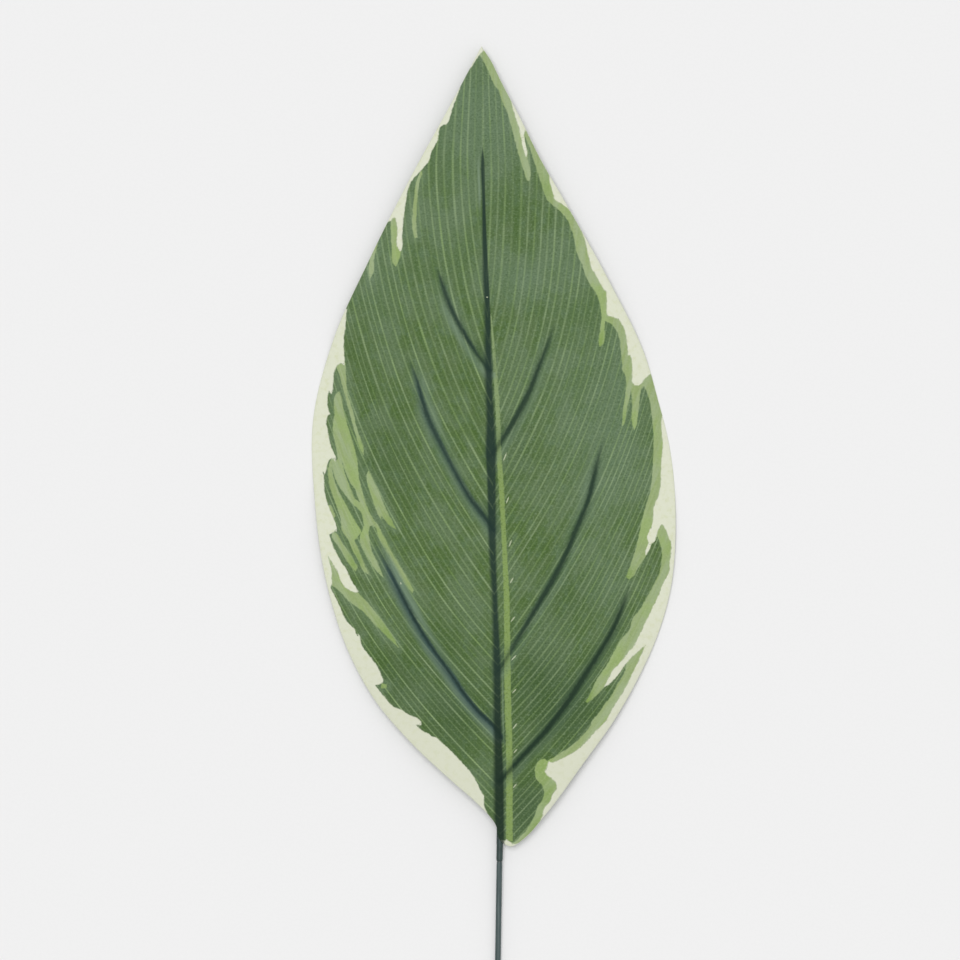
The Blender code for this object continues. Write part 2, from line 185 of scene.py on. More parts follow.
GREEN_RIGHT = [
    (484, 51), (488, 52), (497, 68), (508, 90), (511.5, 103), (512.5, 108), (515, 116), (517.5, 124),
    (519.5, 131), (521, 138), (522.5, 146), (524, 152), (526, 157.5), (527, 152), (525.5, 146),
    (524.5, 141), (524, 136.5), (525, 130.5), (530, 134), (540, 152), (549, 172), (549.5, 181), (551, 187),
    (553, 194), (555, 200.5), (558, 202.5), (563, 205.5), (568, 209), (572, 214), (576, 220), (580, 229),
    (584, 238), (585.5, 244), (587, 251), (589.5, 261), (591, 268), (594, 273), (598, 279.5),
    (603.5, 289.5), (605.5, 291.5), (606.5, 297), (606.5, 306), (606.7, 314), (607.5, 316), (614, 317.5),
    (618.5, 319.5), (621.5, 324), (624, 329), (626.5, 341), (628, 355), (630, 355), (631, 358), (632, 375),
    (632.5, 383), (634.5, 385.2), (638, 385.3), (641.5, 383.5), (643.5, 380), (647, 376.5), (652, 373),
    (656, 381), (660, 396), (663, 412), (661.2, 420), (661.5, 430), (663, 445), (662, 452), (660.8, 470),
    (660, 488), (658.5, 494.5), (654, 506), (653, 511), (653, 518), (651, 527), (648, 533), (646.7, 537.5),
    (648, 541.5), (647.5, 545), (644.8, 552), (645.5, 555), (647.5, 552.5), (651.5, 543.5), (655, 540),
    (656.3, 535), (660, 526), (661.8, 524), (664, 527), (669, 538), (670.8, 543), (671, 548), (669.5, 563),
    (669, 571), (666, 577), (663, 583), (657.5, 597), (651, 610), (645, 623), (638, 637), (633, 646.5),
    (626.5, 653.5), (623.5, 658), (620, 662), (616.5, 666), (613, 668.5), (611, 673), (608, 678),
    (606, 682.5), (604, 686.5), (608, 684), (616, 676.5), (620, 671.5), (622.5, 667.5), (631, 657.5),
    (636, 653), (645.3, 645), (643, 650), (636, 665.5), (634, 669.5), (626, 686), (620, 696), (613, 707),
    (610, 712), (608, 717), (604, 722), (594, 732), (584, 743), (578.5, 748), (568, 754.5), (557, 760),
    (553, 761.5), (550.5, 761.5), (548.5, 760.5), (547.5, 763), (546.5, 767), (544.5, 770.5), (546, 773),
    (552, 778), (554.5, 780.5), (556.3, 784), (556, 788.5), (553.5, 791.5), (551.5, 795), (550.5, 799),
    (547, 803.5), (544.5, 806.5), (543, 810), (542.5, 815), (540.5, 819), (538.5, 825), (534, 830),
    (528, 836), (522, 840.5), (517, 843), (513.5, 843.5), (510, 841), (506.5, 838.5), (505, 840),
    (502, 839),
]

# Print: the inner edge of the light green band on the right side, from the tip to the foot
LIGHT_RIGHT = [
    (478, 54), (480, 56), (484, 63), (487, 69), (490, 76), (493, 83), (495, 87), (498, 90), (500, 95),
    (504, 107), (507, 112.5), (509, 119), (513, 134), (517, 150), (521.5, 165), (524, 173), (527, 181.5),
    (529, 181.5), (530.5, 177), (530, 170), (527.5, 158), (527.5, 152), (526, 146), (525, 141), (525, 137),
    (529, 147), (535, 165), (540, 181), (545, 196), (547, 200.5), (550, 203.5), (558, 210), (563, 215),
    (567, 220), (570, 227), (573, 235), (575.5, 248), (577, 254), (583, 268), (584.5, 274), (590, 285),
    (597, 296), (599, 302), (601, 315), (600, 330), (598.5, 343), (599.5, 346.5), (602.5, 345), (604, 340),
    (604.5, 326), (605, 321.5), (608, 322.5), (612, 325), (615.5, 329.5), (618, 335), (620.5, 350),
    (622, 365), (622.3, 371), (624, 373), (625.5, 378), (626, 385), (624.3, 400), (622.5, 414), (622, 426),
    (623.5, 424), (627, 408), (629, 400), (630.7, 391), (632, 402), (631.5, 418), (632, 424), (634, 430),
    (635.5, 427), (638, 412), (640, 396), (642, 388), (644, 386.5), (646, 390), (650, 403), (652, 418),
    (653.5, 438), (653, 460), (651.5, 480), (649, 495), (645, 507), (641.5, 521), (637.5, 540), (633, 556),
    (628.5, 569), (625.5, 577), (629, 579), (632, 577), (638, 567.5), (644, 558.5), (646, 555),
    (649.5, 549), (651.5, 544), (655, 540.5), (657, 536), (660, 544), (661.5, 550), (661.5, 558),
    (658.5, 574), (652, 587), (645, 600), (637.5, 612), (633, 617), (631, 622), (630, 628), (622, 637.5),
    (616, 647), (609, 660), (605, 667), (597, 678), (592, 688), (588.5, 696), (585, 701), (587, 702.5),
    (594, 697), (602, 689), (605, 686), (608, 684), (616, 676.5), (622.5, 667.5), (627, 661), (624, 672),
    (617, 684), (610, 697), (604, 704), (599, 712), (592, 720), (589.5, 726), (582, 735), (573, 743.5),
    (562, 751), (551, 758), (547, 760), (544.5, 757.5), (540, 759), (537, 762), (535, 767), (535, 773),
    (536, 778), (541.5, 784), (544, 793), (543, 797), (537.5, 806), (534, 816), (527, 828), (520, 836),
    (513.5, 842),
]

# Print: light green patches on the left side, from the tip to the foot
LIGHT_PATCHES = [
    [(421, 171), (418, 178), (416, 185), (414, 200), (412.5, 216), (413, 232), (415, 238.5), (417.5, 238),
     (416.5, 220), (417.5, 200), (420, 180), (422, 173)],
    [(391, 221), (391, 230), (392, 250), (394, 265), (396, 267), (398.5, 262), (401, 251), (399.5, 240),
     (398, 228), (396, 216), (393, 216)],
    [(378, 243), (375, 246), (372, 252), (370, 259), (369, 273), (370, 279), (373, 274), (374.5, 258),
     (376.5, 250)],
    [(341, 361), (336, 366), (339, 374), (343.5, 390), (349, 410), (354.5, 430), (361, 450), (364, 455.5),
     (364, 450), (357.5, 430), (353, 410), (347, 390), (346.5, 380), (345.5, 363)],
    [(339, 391.5), (341, 396), (344, 412), (348.5, 428), (353.5, 444), (357.5, 460), (359, 476),
     (363, 492), (368, 508), (372, 516), (376, 523), (370, 527), (369, 532), (370, 541), (372, 550),
     (376.8, 560), (381, 570), (383.5, 577), (378, 572), (369.6, 560), (364, 550), (360, 540),
     (360.5, 534), (358.5, 536), (355, 540), (359, 550), (363.5, 561), (370, 575), (363, 570), (360, 562),
     (352.5, 550), (349, 540), (342, 530), (341, 520), (337.5, 508), (333, 496), (329.5, 484), (328, 472),
     (329, 465), (332, 457), (335.5, 461), (338, 459), (336, 447), (333, 432), (333, 424), (334.5, 416),
     (334, 408), (336, 394)],
    [(369, 471), (367, 474), (367, 479), (370, 491), (374, 503), (378.5, 515), (381, 519), (382, 516),
     (386, 521), (391, 526), (396.5, 529), (392, 520), (386, 508), (380, 494), (373.5, 480)],
    [(374, 521), (377, 523), (380, 528), (385, 538), (390, 548), (399, 563.5), (407, 576.5), (414, 590),
     (412.5, 592.5), (407, 586), (399.5, 574.5), (393, 562.5), (387, 551), (381.5, 542), (375, 527),
     (371.5, 522)],
    [(333, 531), (332, 536), (338, 545), (344.5, 556.5), (352, 567), (356, 571), (358, 567), (350, 553),
     (341, 540), (337.5, 534)],
    [(328, 554), (334, 563), (340, 574), (345, 585.5), (352, 590), (358, 592), (361, 595), (366, 600),
     (376, 612), (385, 624), (393, 636), (399, 647), (388, 637), (376, 625), (364, 612), (352, 603),
     (346, 598), (341, 592), (336, 588), (331, 584), (329, 576), (327, 562)],
    [(328, 505), (331, 505), (334, 511), (336, 516), (334, 518), (331, 512)],
    [(382, 683), (387, 684), (387, 687), (381, 688)],
]

# Print: dark strips inside the large light patch
DARK_STRIPS = [
    [(342, 461), (346, 473), (352, 485), (356, 490), (357.5, 496), (360, 502), (356, 499), (350, 486),
     (344.5, 471)],
    [(332, 467), (336, 480), (339, 486), (346.5, 496), (353, 504), (361, 512), (363, 518), (364, 524),
     (362, 532), (358, 525), (352.5, 516), (347, 506), (340, 493), (334, 478)],
]

# Print: the light stripe beside the midrib, as (y, left x, right x)
STRIPE = [
    (-3.0, 2.2, 4.6), (26.0, 2.2, 4.5), (34.0, 2.1, 4.4), (41.0, 1.9, 4.2), (48.0, 1.7, 4.0),
    (66.0, 1.5, 3.7), (84.7, 1.4, 3.4), (99.0, 0.9, 2.7), (114.0, 0.2, 1.9), (128.0, -0.6, 1.2),
    (136.0, -1.1, 0.6), (150.0, -1.5, 0.1), (164.7, -2.2, -0.8), (175.0, -2.75, -1.8),
    (189.0, -3.5, -3.2),
]

# How each side rib's shadow shows on the cloth, partly the frame seen through it and partly painted shade,
# from its root (0) to its end (1): share of the way, middle of the shadow outwards from the rib's line, half
# the shadow's width, and depth
RIB_SHADOWS = [
    [(0.0, 0.8, 0.5, 0.8), (0.1, 0.72, 0.55, 0.85), (0.3, 0.45, 0.65, 1.0), (0.5, 0.12, 0.7, 0.93),
     (0.7, -0.02, 0.7, 0.93), (0.9, -0.3, 0.4, 0.8), (1.0, -0.2, 0.1, 0.2)],
    [(0.0, 0.05, 0.75, 1.0), (0.1, 0.1, 0.75, 1.0), (0.3, -0.1, 0.58, 0.9), (0.5, 0.5, 0.6, 0.88),
     (0.7, 0.95, 0.7, 0.92), (0.9, -0.2, 0.37, 0.75), (1.0, 0.0, 0.1, 0.2)],
    [(0.0, -0.9, 0.6, 1.05), (0.1, -0.8, 0.6, 1.05), (0.3, -0.45, 0.5, 1.08), (0.5, 0.2, 0.5, 1.03),
     (0.7, -0.25, 0.48, 1.08), (0.88, -0.35, 0.34, 0.66), (1.0, -0.1, 0.1, 0.2)],
    [(0.0, 0.1, 0.7, 0.9), (0.1, 0.2, 0.75, 0.9), (0.3, 0.55, 0.95, 0.92), (0.5, 0.62, 0.8, 0.95),
     (0.7, -0.1, 0.6, 0.93), (0.88, 0.0, 0.5, 0.51), (1.0, 0.0, 0.1, 0.2)],
    [(0.0, 0.8, 0.5, 0.7), (0.1, 0.72, 0.6, 0.8), (0.3, 0.78, 0.8, 1.0), (0.5, 0.85, 0.88, 0.95),
     (0.7, 0.82, 0.75, 0.97), (0.88, 0.0, 0.67, 0.88), (1.0, -0.1, 0.15, 0.3)],
    [(0.0, 0.0, 0.65, 1.05), (0.1, 0.0, 0.7, 1.1), (0.3, 0.3, 0.9, 1.1), (0.5, 0.5, 0.95, 1.02),
     (0.7, 0.28, 0.78, 1.03), (0.9, 0.4, 0.6, 0.85), (1.0, 0.2, 0.15, 0.3)],
]

# Round each shadow: how far it runs past the rib's end, reach of the painted half shadow outside and inside
# it, the half shadow's depth, how blue that is, and how strong the highlight painted on the cloth beside it
# is, inwards near its end and outwards near its root
RIB_SURROUNDS = [
    (0.8, 1.2, 0.9, 0.4, 0.8, 0.15, 0.6), (1.0, 2.0, 0.7, 0.65, 1.0, 0.5, 0.35),
    (1.5, 2.8, 0.6, 0.9, 1.0, 0.85, 0.6), (3.4, 1.7, 0.8, 0.5, 0.4, 0.15, 0.3),
    (4.8, 1.9, 1.2, 0.55, 0.4, 0.25, 0.3), (2.0, 3.0, 2.4, 0.75, 0.15, 0.1, 0.2),
]
DEEPEST = 1.1                   # a shadow's depth never passes this
END_FADE = 0.15                 # share of a rib over which everything round its shadow fades out
DIM_POWER = 1.5                 # how fast the half shadow loses depth outwards
# Shade in the corner between a rib and the midrib: start, reach and depth, how far it passes the shadow's
# outer edge, and how blue it is
WEDGE = (0.5, 5.0, 0.6)
WEDGE_PASS = 0.4
WEDGE_COOL = 0.3
# Painted highlight, paler cloth beyond a shadow: where it starts and over what width it grows, where it fades
# and over what width, and how it changes along the rib on either side, as (change, value at the root)
HIGHLIGHT_START = (0.1, 0.9)
HIGHLIGHT_FADE = (1.8, 1.6)
HIGHLIGHT_INWARDS = (2.2, -0.5)
HIGHLIGHT_OUTWARDS = (-1.9, 1.9)

# The midrib's shadow, as (y, left x, right x), and half the width of its soft edges, as (y, left, right)
MIDRIB_SHADE = [
    (-4.0, -1.9, 1.6), (4.2, -2.1, 1.5), (18.8, -2.15, 1.3), (40.7, -2.35, 0.45), (62.6, -2.6, 0.15),
    (84.5, -3.0, -0.9), (106.4, -4.2, -1.5), (128.3, -4.7, -1.5), (139.0, -5.2, -1.6), (150.2, -5.0, -2.0),
    (161.2, -5.4, -2.6), (175.8, -5.6, -3.2), (190.4, -5.8, -3.6), (205.0, -6.3, -4.3), (219.6, -6.5, -5.0),
    (234.2, -6.65, -5.5), (241.5, -6.95, -5.6), (244.4, -6.9, -5.7), (247.3, -6.65, -6.0),
    (250.0, -6.3, -6.4),
]
MIDRIB_SOFTNESS = [
    (90.0, 0.85, 0.55), (135.0, 0.5, 0.6), (160.0, 0.9, 0.7), (190.0, 0.8, 0.35), (225.0, 0.4, 0.28),
]
# Painted highlights where the cloth is paler beside the midrib's shadow: the side, where this starts and ends
# across it, in half widths of the shadow's soft edge, where it starts and ends in y in the model's frame, and
# its colour
MID_HIGHLIGHTS = [
    ("mid_right", (-2.0, -1.2, -1.1, -0.4), (-6.0, 4.0, 16.0, 24.0), (118, 139, 112)),
    ("mid_left", (-3.8, -2.4, -1.7, -0.8), (186.0, 198.0, 203.0, 213.0), (130, 151, 127)),
]

PRINT_SOFTNESS = 0.3            # half the width of a printed edge
PRINT_FRINGE = 0.6              # distance of the extra points beside a printed edge
EDGE_SAMPLING = 0.12            # between the places from which distances to a printed edge are measured
NARROW = 0.1                    # a face nowhere further than this from a printed edge lies in a narrow strip
CORNER_TURN = 50.0              # degrees: a sharper turn in a printed edge stays a corner

# Short pale strokes beside the stripe, and two pale specks, as (x, y, length, direction in degrees)
FLECKS = [
    (1.8, 137.0, 3.6, 68.0), (2.7, 121.2, 3.0, 68.0), (3.7, 105.5, 3.0, 68.0), (4.2, 92.0, 2.8, 60.0),
    (4.7, 78.0, 2.7, 52.0), (5.0, 63.9, 3.0, 46.0), (5.2, 51.8, 2.4, 46.0), (5.4, 39.0, 3.0, 52.0),
    (5.6, 29.9, 2.2, 50.0), (5.4, 17.2, 2.2, 50.0), (-4.7, 195.0, 0.8, 0.0), (-36.1, 90.9, 1.0, 110.0),
]
FLECK_WIDTH = 0.5
# A stroke's outline, in shares of its length and its width
FLECK_SHAPE = [(0.5, 0.0), (0.15, 0.5), (-0.25, 0.4), (-0.5, 0.0), (-0.25, -0.4), (0.15, -0.5)]

# Soft spots, as (x, y, reach in x, reach in y, strength): bluer green, partly the print's tone and partly a
# painted sheen; the print's strongest light green, mostly at the ends of its tongues; and deeper green, partly
# the print's tone and partly painted shade
BLUE_SPOTS = [
    (-5.5, 262.0, 26.0, 26.0, 0.9), (8.0, 201.0, 11.0, 9.0, 0.9), (-44.0, 200.0, 9.0, 22.0, 0.5),
    (44.0, 160.0, 11.0, 36.0, 0.75), (38.0, 90.0, 9.0, 11.0, 0.6), (-20.0, 215.0, 16.0, 22.0, 0.35),
    (-9.0, 14.0, 8.0, 12.0, 0.35), (26.0, 160.0, 16.0, 26.0, 0.4), (26.0, 212.0, 9.0, 24.0, 0.55),
    (37.0, 132.0, 13.0, 18.0, 0.5),
]
TIP_SPOTS = [
    (31.5, 49.0, 4.0, 5.0, 0.9), (-40.0, 73.0, 6.0, 7.0, 0.85), (46.0, 94.0, 3.0, 3.5, 0.9),
    (-32.5, 90.0, 3.0, 3.0, 0.3), (-39.0, 112.5, 3.5, 5.0, 0.7), (36.4, 179.0, 2.0, 3.5, 0.8),
    (15.0, 22.0, 3.5, 6.0, 0.5), (17.5, 13.0, 4.0, 6.0, 0.55), (13.0, 2.0, 4.0, 5.0, 0.6),
    (-53.0, 99.0, 3.5, 4.5, 0.7), (16.5, 234.5, 3.2, 6.0, 0.6), (46.0, 150.0, 2.0, 4.0, 0.7),
    (-42.5, 53.5, 2.5, 2.5, 0.7), (-50.5, 141.0, 2.5, 4.0, 0.4),
]
DEEP_SPOTS = [
    (24.0, 44.0, 16.0, 13.0, 0.9), (-16.0, 43.0, 14.0, 14.0, 0.7), (13.0, 57.0, 12.0, 14.0, 0.7),
    (-40.0, 56.0, 11.0, 11.0, 0.45), (24.0, 84.0, 10.0, 12.0, 0.35), (9.0, 9.0, 10.0, 13.0, 0.85),
    (-20.0, 66.0, 14.0, 14.0, 0.3), (6.0, 140.0, 7.0, 14.0, 0.3), (-40.0, 134.0, 12.0, 16.0, 0.3),
]


def smooth(knots, values, at):
    """Values at the places asked for, on a smooth curve through the given ones."""
    knots = np.asarray(knots, float)
    values = np.asarray(values, float)
    at = np.clip(np.asarray(at, float), knots[0], knots[-1])
    slopes = np.gradient(values, knots, axis=0)
    k = np.clip(np.searchsorted(knots, at, side="right") - 1, 0, len(knots) - 2)
    span = knots[k + 1] - knots[k]
    t = (at - knots[k]) / span
    if values.ndim == 2:
        t = t[:, None]
        span = span[:, None]
    start = (1 + 2 * t) * (1 - t) ** 2 * values[k] + t * (1 - t) ** 2 * span * slopes[k]
    end = t ** 2 * (3 - 2 * t) * values[k + 1] - t ** 2 * (1 - t) * span * slopes[k + 1]
    return start + end


def through(rows, at):
    """A smooth curve through rows of a place and its value or values, read at the places asked for."""
    rows = np.asarray(rows, float)
    return smooth(rows[:, 0], rows[:, 1] if rows.shape[1] == 2 else rows[:, 1:], at)


def x_along(line, y):
    """Where a line of (x, y) points lies in x, at the places asked for in y."""
    return through([point[::-1] for point in line], y)


def ramp(value, start, span):
    """0 up to the start, rising evenly over the span, and 1 beyond it."""
    return np.clip((value - start) / span, 0.0, 1.0)


def curve_through(points, step):
    """Points about a step apart on a smooth curve through the given points."""
    points = np.asarray(points, float)
    chords = np.linalg.norm(np.diff(points, axis=0), axis=1)
    along = np.concatenate([[0.0], np.cumsum(chords)])
    count = max(1, round(along[-1] / step))
    if len(points) == 2:
        return points[0] + np.linspace(0.0, 1.0, count + 1)[:, None] * (points[1] - points[0])
    return smooth(along, points, np.linspace(0.0, along[-1], count + 1))


def cornered_curve(points, step):
    """Like curve_through, but a point where the line turns sharply stays a corner."""
    points = np.asarray(points, float)
    run = np.diff(points, axis=0)
    heading = np.degrees(np.arctan2(run[:, 1], run[:, 0]))
    turn = np.abs((np.diff(heading) + 180.0) % 360.0 - 180.0)
    corners = [0] + [k + 1 for k in np.nonzero(turn > CORNER_TURN)[0]] + [len(points) - 1]
    pieces = [curve_through(points[a:b + 1], step)[:-1] for a, b in zip(corners, corners[1:])]
    return np.vstack(pieces + [points[-1:]])


def directions(points):
    """Unit directions along a line of points."""
    change = np.gradient(points, axis=0)
    return change / np.linalg.norm(change, axis=1)[:, None]


def beside(line, offset):
    """A line of points moved sideways, to its left where the offset is positive."""
    x, y = directions(line).T
    return line + np.column_stack([-y, x]) * np.reshape(offset, (-1, 1))


def read_line(x, y, line):
    """For each place: its distance from a line of points, the share passed, and the side (+1 left)."""
    start = line[:-1]
    run = line[1:] - start
    away_x = x[:, None] - start[:, 0]
    away_y = y[:, None] - start[:, 1]
    share = np.clip((away_x * run[:, 0] + away_y * run[:, 1]) / (run ** 2).sum(axis=1), 0.0, 1.0)
    gap = np.hypot(away_x - share * run[:, 0], away_y - share * run[:, 1])
    nearest = gap.argmin(axis=1)
    rows = np.arange(len(x))
    side = run[nearest, 0] * away_y[rows, nearest] - run[nearest, 1] * away_x[rows, nearest]
    passed = (nearest + share[rows, nearest]) / len(run)
    return gap[rows, nearest], passed, np.where(side < 0, -1.0, 1.0)


def extended(line, length):
    """A line of points with its end drawn out by a length."""
    run = line[-1] - line[-2]
    run = run / np.linalg.norm(run)
    steps = np.linspace(0.0, length, max(2, round(length / RIB_STEP) + 1))[1:]
    return np.vstack([line, line[-1] + steps[:, None] * run])


RIB_LINES = [curve_through(route, RIB_STEP) for route in [MIDRIB] + SIDE_RIBS]
SHADOW_LINES = [extended(line, surround[0]) for line, surround in zip(RIB_LINES[1:], RIB_SURROUNDS)]


def across_leaf(x, y):
    """How far right of the midrib's line a place is."""
    return x - x_along(MIDRIB, y)


def underside(places):
    """Height of the blade's underside, as in part.py. The margins come to rest gently on the surface."""
    x, y = np.asarray(places, float).T
    across = across_leaf(x, y)
    share = np.where(across < 0, -across / HALF_WIDTH_LEFT, across / HALF_WIDTH_RIGHT)
    wave = WAVE_HEIGHT * share ** WAVE_POWER * np.cos(2 * math.pi * (y - WAVE_TROUGH) / WAVE_LENGTH)
    to_rib = np.min([read_line(x, y, line)[0] for line in RIB_LINES], axis=0)
    valley = VALLEY_DEPTH * np.exp(-(to_rib / VALLEY_WIDTH) ** 2)
    crease = CREASE_DEPTH * np.exp(-(to_rib / CREASE_WIDTH) ** 2)
    height = through(ARCH, y) - DROOP * share ** DROOP_POWER - wave - valley - crease - CAD_THICKNESS
    return 0.5 * (height + np.sqrt(height ** 2 + FLOOR_SOFTENING ** 2)) - 0.5 * FLOOR_SOFTENING ** 2 / 4


def inside(points, edge):
    """Which points lie inside the closed edge."""
    found = np.zeros(len(points), bool)
    x, y = points[:, 0], points[:, 1]
    for (ax, ay), (bx, by) in zip(edge, np.roll(edge, -1, axis=0)):
        if ay == by:
            continue
        crosses = (ay > y) != (by > y)
        found ^= crosses & (x < ax + (y - ay) * (bx - ax) / (by - ay))
    return found


def spots(x, y, places):
    """How strongly soft spots colour each place, from 0 to 1."""
    left = np.ones(len(x))
    for sx, sy, reach_x, reach_y, strength in places:
        left *= 1 - strength * np.exp(-((x - sx) / reach_x) ** 2 - ((y - sy) / reach_y) ** 2)
    return 1 - left


# The move from the leaf's own frame to the model's
EDGE_LINE = curve_through(EDGE, EDGE_STEP)[:-1]
blade_low, blade_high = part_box("blade")
blade_middle = (np.array(blade_low) + np.array(blade_high))[:2] / 2 / MM
SHIFT = np.append(blade_middle - (EDGE_LINE.min(axis=0) + EDGE_LINE.max(axis=0)) / 2, 0.0)


def placed(name, data):
    """A new object in the scene."""
    obj = bpy.data.objects.new(name, data)
    bpy.context.scene.collection.objects.link(obj)
    return obj


def new_piece(name, vertices, faces, mat, sharp_angle=40.0):
    """An object from points in millimetres in the leaf's own frame, shaded smooth but for its sharp edges."""
    mesh = bpy.data.meshes.new(name)
    points = (np.asarray(vertices, float) + SHIFT) * MM
    mesh.from_pydata(points.tolist(), [], faces)
    mesh.shade_smooth()
    mesh.set_sharp_from_angle(angle=math.radians(sharp_angle))
    mesh.materials.append(mat)
    return placed(name, mesh)


def read_all(items, name, kind, size=1):
    """One value, or a row of them, of every item of a mesh."""
    values = np.empty(len(items) * size, kind)
    items.foreach_get(name, values)
    return values.reshape(-1, size) if size > 1 else values


def add_attribute(obj, name, domain, values):
    attribute = obj.data.attributes.new(name, "FLOAT", domain)
    attribute.data.foreach_set("value", np.asarray(values, np.float32))


# Cloth


def printed_line(readings, closed=False):
    """A printed edge, in millimetres, from its readings in the photo's pixels."""
    if closed:
        readings = readings + readings[:1]
    origin_u, origin_v = PHOTO_ORIGIN
    points = [((u - origin_u) * PIXEL, (origin_v - v) * PIXEL) for u, v in readings]
    line = cornered_curve(points, PRINT_STEP)
    return line[:-1] if closed else line


def print_shapes():
    """The print's closed shapes: the green, the light green, the dark strips in it and the stripe."""
    green_left = printed_line(GREEN_LEFT)
    green_right = printed_line(GREEN_RIGHT)
    light_edge = printed_line(LIGHT_RIGHT)
    stripe_y = np.arange(STRIPE[0][0], STRIPE[-1][0], 2 * PRINT_STEP)
    sides = through(STRIPE, stripe_y)
    left = np.column_stack([sides[:, 0], stripe_y])
    right = np.column_stack([sides[:, 1], stripe_y])
    return {
        "green": [np.vstack([green_left, green_right[::-1]])],
        "light": [np.vstack([light_edge, green_right[::-1]])]
        + [printed_line(patch, closed=True) for patch in LIGHT_PATCHES],
        "strips": [printed_line(strip, closed=True) for strip in DARK_STRIPS],
        "stripe": [np.vstack([left, right[::-1]])],
        "fleck": [fleck_outline(*fleck) for fleck in FLECKS],
    }


def fleck_outline(x, y, length, turn):
    """A thin pointed stroke."""
    ahead = np.array([math.cos(math.radians(turn)), math.sin(math.radians(turn))])
    aside = np.array([-ahead[1], ahead[0]])
    return np.array([(x, y) + a * length * ahead + b * FLECK_WIDTH * aside for a, b in FLECK_SHAPE])


def cloth_triangles(shapes):
    """The cloth's triangles in plan, split along its edge, the ribs and every printed edge."""
    edge = beside(np.vstack([EDGE_LINE, EDGE_LINE[:1]]), RIM_WIDTH)[:-1]
    loops = [edge] + [shape for group in shapes.values() for shape in group]
    points = []
    lines = []
    for loop in loops:
        first = len(points)
        points += loop.tolist()
        lines += [(first + k, first + (k + 1) % len(loop)) for k in range(len(loop))]
    for rib in RIB_LINES[:1] + SHADOW_LINES:
        first = len(points)
        points += rib.tolist()
        lines += [(first + k, first + k + 1) for k in range(len(rib) - 1)]
    known = KDTree(len(points))
    for k, (x, y) in enumerate(points):
        known.insert((x, y, 0.0), k)
    known.balance()
    more = [beside(rib, offset) for rib in RIB_LINES for offset in STRIP_OFFSETS]
    more += [beside(shape, offset) for name in ("green", "light", "strips", "stripe")
             for shape in shapes[name] for offset in (PRINT_FRINGE, -PRINT_FRINGE)]
    low, high = edge.min(axis=0), edge.max(axis=0)
    for row, y in enumerate(np.arange(low[1], high[1], LATTICE_ROW)):
        x = np.arange(low[0] + LATTICE_STEP / 2 * (row % 2), high[0], LATTICE_STEP)
        more.append(np.column_stack([x, np.full(len(x), y)]))
    more = np.vstack(more)
    more = more[inside(more, edge)]
    more = [p for p in more.tolist() if known.find((p[0], p[1], 0.0))[2] >= POINT_CLEARANCE]
    points += thinned(more, POINT_CLEARANCE)
    flat, _, triangles, _, _, _ = delaunay_2d_cdt([Vector(p) for p in points], lines, [], 0, MERGE_GAP)
    flat = np.array([(p.x, p.y) for p in flat])
    triangles = np.array(triangles)
    middles = flat[triangles].mean(axis=1)
    triangles = triangles[inside(middles, edge)]
    used, triangles = np.unique(triangles, return_inverse=True)
    return flat[used], triangles.reshape(-1, 3)


def thinned(points, clearance):
    """The points in order, without those too close to an earlier one."""
    kept = []
    cells = {}
    for x, y in points:
        column, row = math.floor(x / clearance), math.floor(y / clearance)
        near = [p for c in (column - 1, column, column + 1) for r in (row - 1, row, row + 1)
                for p in cells.get((c, r), ())]
        if all(math.hypot(x - a, y - b) >= clearance for a, b in near):
            cells.setdefault((column, row), []).append((x, y))
            kept.append([x, y])
    return kept


def rim_loop(triangles):
    """The cloth's border in order, as indices of its points."""
    sides = {(t[k], t[(k + 1) % 3]) for t in triangles.tolist() for k in range(3)}
    following = {a: b for a, b in sides if (b, a) not in sides}
    start = next(iter(following))
    loop = [start]
    while following[loop[-1]] != start:
        loop.append(following[loop[-1]])
    return np.array(loop)


def ripple(x, y):
    """Small undulations of the cloth, the same at each run."""
    return np.array([noise.noise((a / RIPPLE_LENGTH, b / RIPPLE_LENGTH, RIPPLE_DRAW)) for a, b in zip(x, y)])


def vein_value(x, y, side):
    """The veins' running number times their spacing: each printed vein follows one value of it."""
    out = across_leaf(x, y) * side
    share = out / HALF_WIDTH_LEFT
    crowd = through(VEIN_CROWD, y) * (1 + VEIN_MARGIN_CROWD * share ** 2)
    return side * (out * crowd - through(VEIN_CLIMB, y) + VEIN_START)


def make_cloth(mat):
    shapes = print_shapes()
    flat, triangles = cloth_triangles(shapes)
    x, y = flat.T
    low = underside(flat)
    rib_gap = np.min([read_line(x, y, line)[0] for line in RIB_LINES], axis=0)
    low += CLOTH_RIPPLE * ripple(x, y) * ramp(low, *RIPPLE_LIFT) * ramp(rib_gap, *RIPPLE_CLEAR)
    count = len(flat)
    loop = rim_loop(triangles)
    rim = beside(np.vstack([flat[loop], flat[loop[:1]]]), -RIM_WIDTH)[:-1]
    vertices = np.vstack([
        np.column_stack([flat, low + CLOTH_THICKNESS]),
        np.column_stack([flat, low]),
        *[np.column_stack([rim, low[loop] + CLOTH_THICKNESS * level]) for level in RIM_LEVELS],
    ])
    top = triangles.tolist()
    bottom = (triangles[:, ::-1] + count).tolist()
    size = len(loop)
    rings = [loop, 2 * count + np.arange(size), 2 * count + size + np.arange(size), loop + count]
    rim_faces = []
    for upper, under in zip(rings, rings[1:]):
        for k in range(size):
            n = (k + 1) % size
            rim_faces.append((int(upper[n]), int(upper[k]), int(under[k]), int(under[n])))
    cloth = new_piece("leaf_cloth", vertices, top + bottom + rim_faces, mat, sharp_angle=60.0)
    mark_print(cloth, shapes, len(top))
    area = triangle_area(vertices[:count], triangles) * MM ** 2
    return cloth, area


def triangle_area(points, triangles):
    a, b, c = points[triangles].transpose(1, 0, 2)
    return np.linalg.norm(np.cross(b - a, c - a), axis=1).sum() / 2


